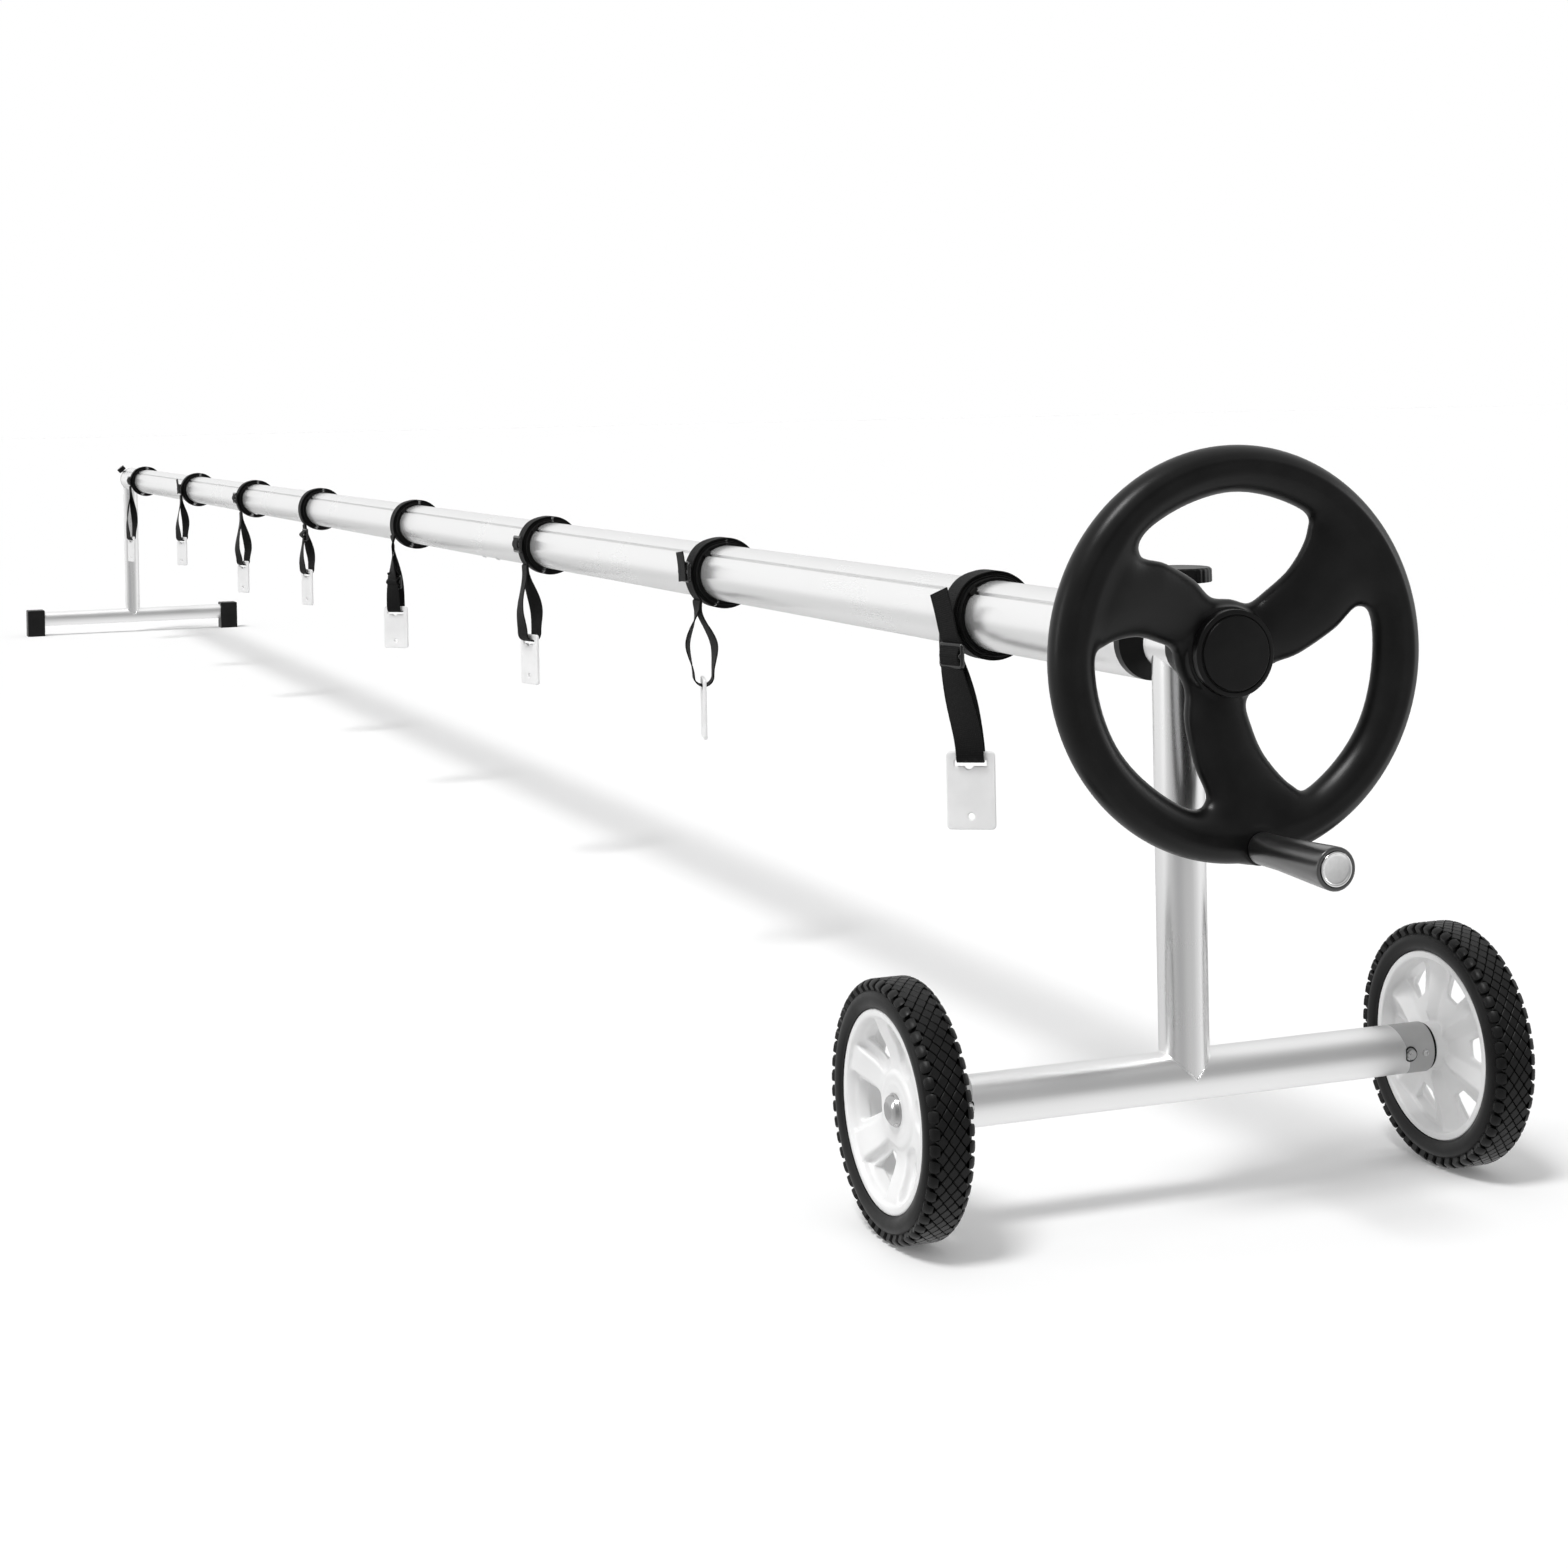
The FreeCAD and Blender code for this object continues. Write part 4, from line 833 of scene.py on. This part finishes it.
# each hanging tail from the hand wheel: widest half gap between its strands, mm; where down the
# drop that is; how far the strands swirl apart, degrees; the heading it takes below the ring,
# degrees; where down the drop it has taken the plate's
LOOPS = (
    (8.3, 0.95, 5.0, 8.0, 0.95),
    (15.5, 0.62, 15.0, -2.0, 0.35),
    (13.5, 0.7, 16.0, 0.0, 0.7),
    (8.5, 0.98, 8.0, -22.0, 0.97),
    (10.5, 0.78, 16.0, 0.0, 0.7),
    (13.5, 0.74, 15.0, 0.0, 0.7),
    (11.5, 0.7, 20.0, 0.0, 0.8),
    (11.0, 0.72, 24.0, 0.0, 0.8),
)


def heading_of(k, down):
    """Which way a tail's width points, a share of the way down from the ring to the loop."""
    heading, by = LOOPS[k - 1][3:]
    start = math.radians(heading) * ease(down, 0.0, 0.15)
    return start + (turn_of(k) - start) * ease(down, 0.0, by)


def strap_tail(k):
    """The hanging tail: two strands from the ring that twist and part into the plate's loop."""
    top, low = eye(k) / MM, pivot(k) / MM
    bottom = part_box("strap_tail_%d" % k)[0].z / MM
    radius = low.z - bottom - WEB_T / 2
    widest, peak, swirl = LOOPS[k - 1][:3]
    swirl = math.radians(swirl)

    def strand_at(z, side):
        down = (top.z - z) / (top.z - low.z)
        if down < peak:
            gap = STRAND_GAP + (widest - STRAND_GAP) * ease(down, 0.08, peak)
        else:
            gap = widest + (radius - widest) * ease(down, peak, 1.0)
        angle = heading_of(k, down)
        x = top.x + (low.x - top.x) * (0.35 * down + 0.65 * ease(down, 0, 1))
        y = top.y + (low.y - top.y) * down
        spread = angle + side * swirl * math.sin(math.pi * min(1, max(0, down))) ** 2
        return ((x - math.sin(angle) * gap * side, y + math.cos(angle) * gap * side, z),
                (math.cos(spread), math.sin(spread), 0))

    turn = turn_of(k)
    heights = np.linspace(top.z, low.z, 42)
    rows = [strand_at(z, 1) for z in heights]
    for step in range(1, 12):
        t = math.pi * step / 12
        aside = radius * math.cos(t)
        rows.append(((low.x - math.sin(turn) * aside, low.y + math.cos(turn) * aside,
                      low.z - radius * math.sin(t)), (math.cos(turn), math.sin(turn), 0)))
    rows += [strand_at(z, -1) for z in heights[::-1]]
    start = heading_of(k, 0)
    for step in (1, 2, 3):
        t = math.pi * step / 4
        aside = STRAND_GAP * math.cos(t)
        rows.append(((top.x + math.sin(start) * aside, top.y - math.cos(start) * aside,
                      top.z + STRAND_GAP * math.sin(t)), (math.cos(start), math.sin(start), 0)))
    path, across = zip(*rows)
    name, body, node = (part % k for part in ("strap_loop_%d", "strap_%d", "strap_tail_%d"))
    return webbing_piece(name, [(path, across, True)], body, node)


def buckle_heading(k):
    """Which way a tail's own buckle faces."""
    at = middle("tail_buckle_%d" % k)
    return heading_of(k, (eye(k).z - at.z) / (eye(k).z - pivot(k).z))


def free_end(k, lean, curl, out, rise):
    """The free end above a tail's buckle: how far it leans, curls, comes out and rises, mm."""
    base = middle("tail_buckle_%d" % k) / MM
    turn = buckle_heading(k)
    path, across = [], []
    for t in np.linspace(0, 1, 18):
        bulge = 2.6 * math.exp(-((t * rise - 12.0) / 7.0) ** 2)
        path.append((base.x + lean * t + curl * t * t, base.y - 1.0 + out * t + bulge,
                     base.z + (rise - 8) * t))
        across.append((math.cos(turn), math.sin(turn), 0.1 * t))
    return path, across, False


def free_ends():
    """Both long free ends; the nearest one stands past its tail's hinge and rides on no body."""
    long_end = joined_strips("strap_free_end_1", [free_end(1, -2.0, -9.0, -7.0, 66.0)])
    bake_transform(long_end)
    webbing_piece("strap_free_end_4", [free_end(4, -4.0, 0.0, -3.0, 26.0)], "strap_4")


# ---- buckles and plates
def slide_buckle():
    """Rounded two-slot slide, lying in its own XZ plane, in mm about its centre."""
    width, height, corner, bar_r, bar_y, step = 32.0, 24.0, 4.0, 2.3, -1.2, 0.75
    low = (-width / 2 - 2, -5.0, -height / 2 - 2)
    x, y, z = grid(low, (width / 2 + 2, 5.0, height / 2 + 2), step)
    plan = rounded_rectangle(x, z, width / 2, height / 2, corner)
    body = smooth_max(plan, np.abs(y) - bar_r, 2.2)
    slot_h = height / 2 - 5
    for way in (-1, 1):
        middle_z = way * (1.5 + slot_h / 2)
        slot = smooth_max(np.abs(x) - WEB_W / 2 - 0.6, np.abs(z - middle_z) - slot_h / 2, 1.0)
        body = smooth_max(body, -slot, 1.2)
    bar = np.sqrt((y - bar_y) ** 2 + z ** 2) - bar_r
    body = smooth_min(body, smooth_max(bar, np.abs(x) - width / 2 + 2, 1.0), 1.2)
    verts, faces = skin(body, low, step)
    return relaxed(verts, faces, 1), faces


def turned_about_z(verts, angle):
    c, s = math.cos(angle), math.sin(angle)
    return verts @ np.array([[c, s, 0], [-s, c, 0], [0, 0, 1]])


def threaded_web(at, turn, bulge=3.0):
    """The short bit of webbing that wraps over the middle bar of a buckle at a place, in mm."""
    reach = 9.5
    path = np.array([(0, -1.0 - bulge * math.cos(h / reach * math.pi / 2) ** 2, h)
                     for h in np.linspace(-reach, reach, 16)])
    across = np.tile((1.0, 0.0, 0.0), (len(path), 1))
    return turned_about_z(path, turn) + at, turned_about_z(across, turn), False


def buckles():
    """Slide buckles on the rings and on the three tails that carry their own."""
    clear, half_thick, rise = 0.3, 3.0, 3.0
    shape, faces = slide_buckle()
    verts, all_faces, strips = [], [], []
    for k in STRAP_NUMBERS:
        if "tail_buckle_%d" % k in frame["nodes"]:
            at = np.array(middle("tail_buckle_%d" % k)) / MM
            if k == 1:
                at[1] -= 1.0
            angle = buckle_heading(k)
            own = (turned_about_z(shape, angle) + at) * MM
            piece = make_piece("slide_buckle_%d" % k, own, faces, MAT["buckle"])
            place(piece, "strap_%d" % k, "black_plastic", "tail_buckle_%d" % k)
            web = threaded_web(at, angle, 3.0 if k == 1 else 7.5)
            webbing_piece("buckle_web_%d" % k, [web], "strap_%d" % k)
        else:
            at = np.array([eye(k).x / MM, -(DRUM_R + RING_THICK + clear + half_thick),
                           AXIS_Z / MM + rise])
            all_faces.append(faces + len(verts) * len(shape))
            verts.append(shape + at)
            strips.append(threaded_web(at, 0.0))
    piece = make_piece("ring_slide_buckles", np.concatenate(verts) * MM, np.concatenate(all_faces),
                       MAT["buckle"])
    place(piece, "reel", "black_plastic", "ring_buckles")
    webbing_piece("ring_buckle_web", strips, "reel")


def cover_plates():
    """Thin moulded plates: rounded corners, a slot under the top bar, a small hole low down."""
    width, height, thick, bar, corner = 44.0, 70.0, 4.0, 8.0, 4.0
    slot_half, hole_r, hole_up, step = 14.0, 3.0, 12.0, 0.8
    low = (-width / 2 - 2, -3.6, bar - height - 2)
    x, y, z = grid(low, (width / 2 + 2, 3.6, bar + 2), step)
    mid_z = bar - height / 2
    plan = rounded_rectangle(x, z - mid_z, width / 2, height / 2, corner)
    body = smooth_max(plan, np.abs(y) - thick / 2, 0.9)
    slot = np.maximum(np.abs(x) - slot_half, np.abs(z + 2.6) - 2.1)
    notch = np.sqrt((x + 1.5) ** 2 + (z + 4.2) ** 2) - 3.4
    body = smooth_max(body, -(np.minimum(slot, notch) - 0.5), 0.7)
    hole = np.sqrt(x ** 2 + (z - bar + height - hole_up) ** 2) - hole_r
    body = smooth_max(body, -hole, 0.7)
    verts, faces = skin(body, low, step)
    for k in STRAP_NUMBERS:
        node = "cover_plate_%d" % k
        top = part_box(node)[1].z / MM
        at = np.array([pivot(k).x / MM, pivot(k).y / MM, top - bar])
        own = (turned_about_z(verts, turn_of(k)) + at) * MM
        panel = make_piece("plate_panel_%d" % k, own, faces, MAT["plate"])
        place(panel, "plate_%d" % k, "white_plastic", node)


# ---- stands: welds and small fittings
def saddle_bead(name, body, x, z):
    """A weld bead where an upright is coped on its base tube, as a small tube along the joint."""
    count, sides, bead = 96, 8, 0.8
    path, verts = [], []
    for i in range(count):
        t = 2 * math.pi * i / count
        px, py = STAND_R * math.cos(t), STAND_R * math.sin(t)
        path.append((px, py, math.sqrt(max(0.0, STAND_R ** 2 - px ** 2))))
    for i in range(count):
        before, here, after = (np.array(path[(i + d) % count]) for d in (-1, 0, 1))
        tangent = after - before
        tangent /= np.linalg.norm(tangent)
        out = np.array([here[0], here[1], 0.0])
        out -= out.dot(tangent) * tangent
        out /= np.linalg.norm(out)
        up = np.cross(tangent, out)
        ripple = 1 + 0.06 * math.sin(i * 2 * math.pi / 3.0)
        for j in range(sides):
            a = 2 * math.pi * j / sides
            verts.append(here + (out * math.cos(a) + up * math.sin(a)) * bead * ripple)
    verts = np.array(verts) * MM + np.array([x, 0, z])
    bead_piece = make_piece(name, verts, bridge(0, count, sides, True), MAT["upright"])
    place(bead_piece, body, "satin_aluminium")


def button_surrounds():
    """A thin dark D-shaped surround beside each sprung button, and its lip."""
    count, proud, thick = 40, 0.35, 1.2
    verts, faces = [], []
    for side in ("left", "right"):
        low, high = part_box("snap_button_" + side)
        centre = (low + high) / 2
        way = 1 if side == "right" else -1
        ring = []
        for i in range(count):
            t = 2 * math.pi * i / count
            a, b = 5.9 * math.cos(t), 6.4 * math.sin(t)
            ring.append((max(a, -4.4) * way, b))
        first = len(verts)
        front = []
        for scale in (1.0, 0.8):
            for a, b in ring:
                y, z = a * scale, b * scale
                depth = math.sqrt(STAND_R ** 2 - z * z)
                front.append((NEAR_X / MM + depth + proud, centre.y / MM + y, centre.z / MM + z))
        verts += front + [(x - thick, y, z) for x, y, z in front]
        for i in range(count):
            j = (i + 1) % count
            a, b, c, d = (first + row * count for row in range(4))
            faces += [(a + i, a + j, b + j, b + i), (c + j, c + i, d + i, d + j),
                      (a + j, a + i, c + i, c + j), (b + i, b + j, d + j, d + i)]
    piece = make_piece("button_surrounds", np.array(verts) * MM, faces, MAT["black"], smooth=False)
    place(piece, "drive_stand", "black_plastic")


def finish_cad_nodes():
    """Give every CAD piece one surface all over, found by how its node's name starts."""
    looks = {
        "drum": ("drum_tube_",),
        "sleeve": ("drive_sleeve", "idle_sleeve", "drum_splices"),
        "base": ("drive_base_tube", "idle_base_tube"),
        "upright": ("drive_upright", "idle_upright"),
        "steel": ("splice_screws", "drive_shaft", "idle_shaft", "shaft_pins", "wheel_bolt",
                  "stub_axles", "plug_screws", "lock_stem", "thumb_stem", "snap_button_"),
        "bright": ("crank_bolt", "cap_nuts"),
        "black": ("end_plugs", "hand_wheel", "hub_cap", "crank_grip", "lock_knob", "thumb_knob",
                  "groove_keys", "ring_buckles", "axle_washers"),
        "grey": ("axle_plugs",),
        "nylon": ("drive_bushes", "idle_bushes"),
        "foot": ("feet",),
        "tyre": ("tyre_",),
        "white": ("hub_left", "hub_right"),
        "web": ("strap_rings", "strap_tail_"),
        "plate": ("cover_plate_",),
        "buckle": ("tail_buckle_",),
    }
    for name, node in frame["nodes"].items():
        look = next(look for look, starts in looks.items() if name.startswith(starts))
        materials = node.data.materials
        if not materials:
            materials.append(MAT[look])
        for index in range(len(materials)):
            materials[index] = MAT[look]


# ---- studio
def floor():
    """A pale floor that looks white, keeps the soft shadow and isn't there for reflections."""
    size = 60.0
    verts = [(-size, -size, 0), (size, -size, 0), (size, size, 0), (-size, size, 0)]
    material = bpy.data.materials.new("studio_floor")
    graph = Graph(material)
    graph.nodes.clear()
    path = graph.add("LightPath").outputs
    glow = graph.add("Emission", {"Strength": graph.math("MULTIPLY", path["Is Camera Ray"], 0.12)})
    diffuse = graph.add("BsdfDiffuse", {"Color": (0.8, 0.8, 0.8, 1)})
    both = graph.add("AddShader", {0: diffuse.outputs[0], 1: glow.outputs[0]}).outputs[0]
    clear = graph.add("BsdfTransparent").outputs[0]
    graph.add("OutputMaterial", {"Surface": graph.mixed(path["Is Glossy Ray"], both, clear)})
    piece = make_piece("floor", verts, [(0, 1, 2, 3)], material, smooth=False, closed=False)


def world():
    """Even studio light, white to the camera; reflections see some greyer walls and a screen."""
    scene_world = bpy.data.worlds.new("studio")
    bpy.context.scene.world = scene_world
    graph = Graph(scene_world)
    graph.nodes.clear()
    path = graph.add("LightPath").outputs
    direction = graph.add("TexCoord").outputs["Generated"]

    def towards(x, y, z):
        """How nearly a ray goes a certain way."""
        inputs = {0: direction, 1: (x, y, z)}
        return graph.add("VectorMath", inputs, operation="DOT_PRODUCT").outputs["Value"]

    # a dark wall behind the camera, by how nearly the ray goes there
    back = math.radians(-38)
    walls = graph.ramp(towards(math.cos(back), math.sin(back), 0.0), -1, 1, 0, 1)
    shades = graph.greys(walls, grey(0.7), (
        (0.04, 0.8), (0.2, 1.0), (0.5, 1.0), (0.65, 0.92), (0.77, 0.76), (0.88, 0.62),
        (0.94, 0.52), (0.983, 0.42)), (0.38, 0.38, 0.39))
    # a greyer band below the horizon, only on the idle stand's side
    part = graph.add("SeparateXYZ", {"Vector": direction}).outputs
    level = graph.ramp(part["Z"], -1, 1, 0, 1)
    dusk = graph.greys(level, grey(1), (
        (0.2, 1.0), (0.33, 0.72), (0.4, 0.68), (0.47, 1.0)), grey(1))
    beyond = graph.ramp(part["X"], -0.25, -0.6, 0, 1)
    colour = graph.add("Mix", {"Factor": beyond, "A": shades, "B": dusk}, data_type="RGBA",
                       blend_type="MULTIPLY").outputs["Result"]
    # a dark screen high on the camera's right
    screen = graph.ramp(towards(0.8, 0.43, 0.42), 0.6, 1.02, 1.0, 0.43, "SMOOTHSTEP")

    fill = graph.add("Background", {"Strength": 0.56, "Color": (1, 1, 1, 1)}).outputs[0]
    white = graph.add("Background", {"Color": (1, 1, 1, 1)}).outputs[0]
    shiny = graph.add("Background", {"Strength": screen, "Color": colour}).outputs[0]
    reflected = graph.math("MAXIMUM", path["Is Glossy Ray"], path["Is Transmission Ray"])
    lit = graph.mixed(reflected, fill, shiny)
    graph.add("OutputWorld", {"Surface": graph.mixed(path["Is Camera Ray"], lit, white)})


def aimed(name, data, direction):
    """A lamp that shines along a direction."""
    lamp = in_scene(name, data)
    lamp.rotation_mode = "QUATERNION"
    lamp.rotation_quaternion = Vector(direction).to_track_quat("-Z", "Y")
    return lamp


def lamps():
    """A soft sun from high behind the camera, and a long box to each side of the drive stand."""
    sun = bpy.data.lights.new("key", "SUN")
    sun.energy = 1.9
    sun.angle = math.radians(16)
    aimed("key", sun, (-0.25, 0.43, -1.0))
    target, size = Vector((NEAR_X, 0.0, 0.3)), 0.45
    for name, at, power in (("left_box", (NEAR_X - 0.55, -3.0, 1.1), 10.0),
                            ("right_box", (NEAR_X + 0.35, 3.0, 1.2), 8.0)):
        box = bpy.data.lights.new(name, "AREA")
        box.shape = "RECTANGLE"
        box.size, box.size_y = size, size * 3.2
        box.energy = power
        aimed(name, box, target - Vector(at)).location = at


def camera():
    """Stands beyond the hand wheel, a little above the drum, and looks along it."""
    data = bpy.data.cameras.new("camera")
    data.sensor_width = 36.0
    data.lens = 62.555
    data.shift_y = -0.239
    data.clip_end = 200
    view = in_scene("camera", data)
    yaw, pitch, roll = 0.3677, -0.0047, -0.0188
    look = Vector((-math.cos(yaw) * math.cos(pitch), math.sin(yaw) * math.cos(pitch),
                   math.sin(pitch)))
    level = look.cross(Vector((0, 0, 1))).normalized()
    above = level.cross(look)
    right = level * math.cos(roll) + above * math.sin(roll)
    up = above * math.cos(roll) - level * math.sin(roll)
    view.rotation_mode = "QUATERNION"
    view.rotation_quaternion = Matrix((right, up, -look)).transposed().to_quaternion()
    view.location = (NEAR_X + 1.91684, -1.0704, 0.6477)
    bpy.context.scene.camera = view


finish_cad_nodes()
hand_wheel()
hub_cap()
crank_grip()
crank_pin()
lock_knob()
for wheel_side, wheel_name in ((-1, "left"), (1, "right")):
    tyre(wheel_name)
    wheel_hub(wheel_side, wheel_name)
cap_nuts()
strap_rings()
for number in STRAP_NUMBERS:
    strap_tail(number)
free_ends()
buckles()
cover_plates()
saddle_bead("drive_foot_weld", "drive_stand", NEAR_X, middle("drive_base_tube").z)
saddle_bead("idle_foot_weld", "idle_stand", FAR_X, middle("idle_base_tube").z)
button_surrounds()
floor()
world()
lamps()
camera()
bpy.context.scene.view_settings.view_transform = "Standard"
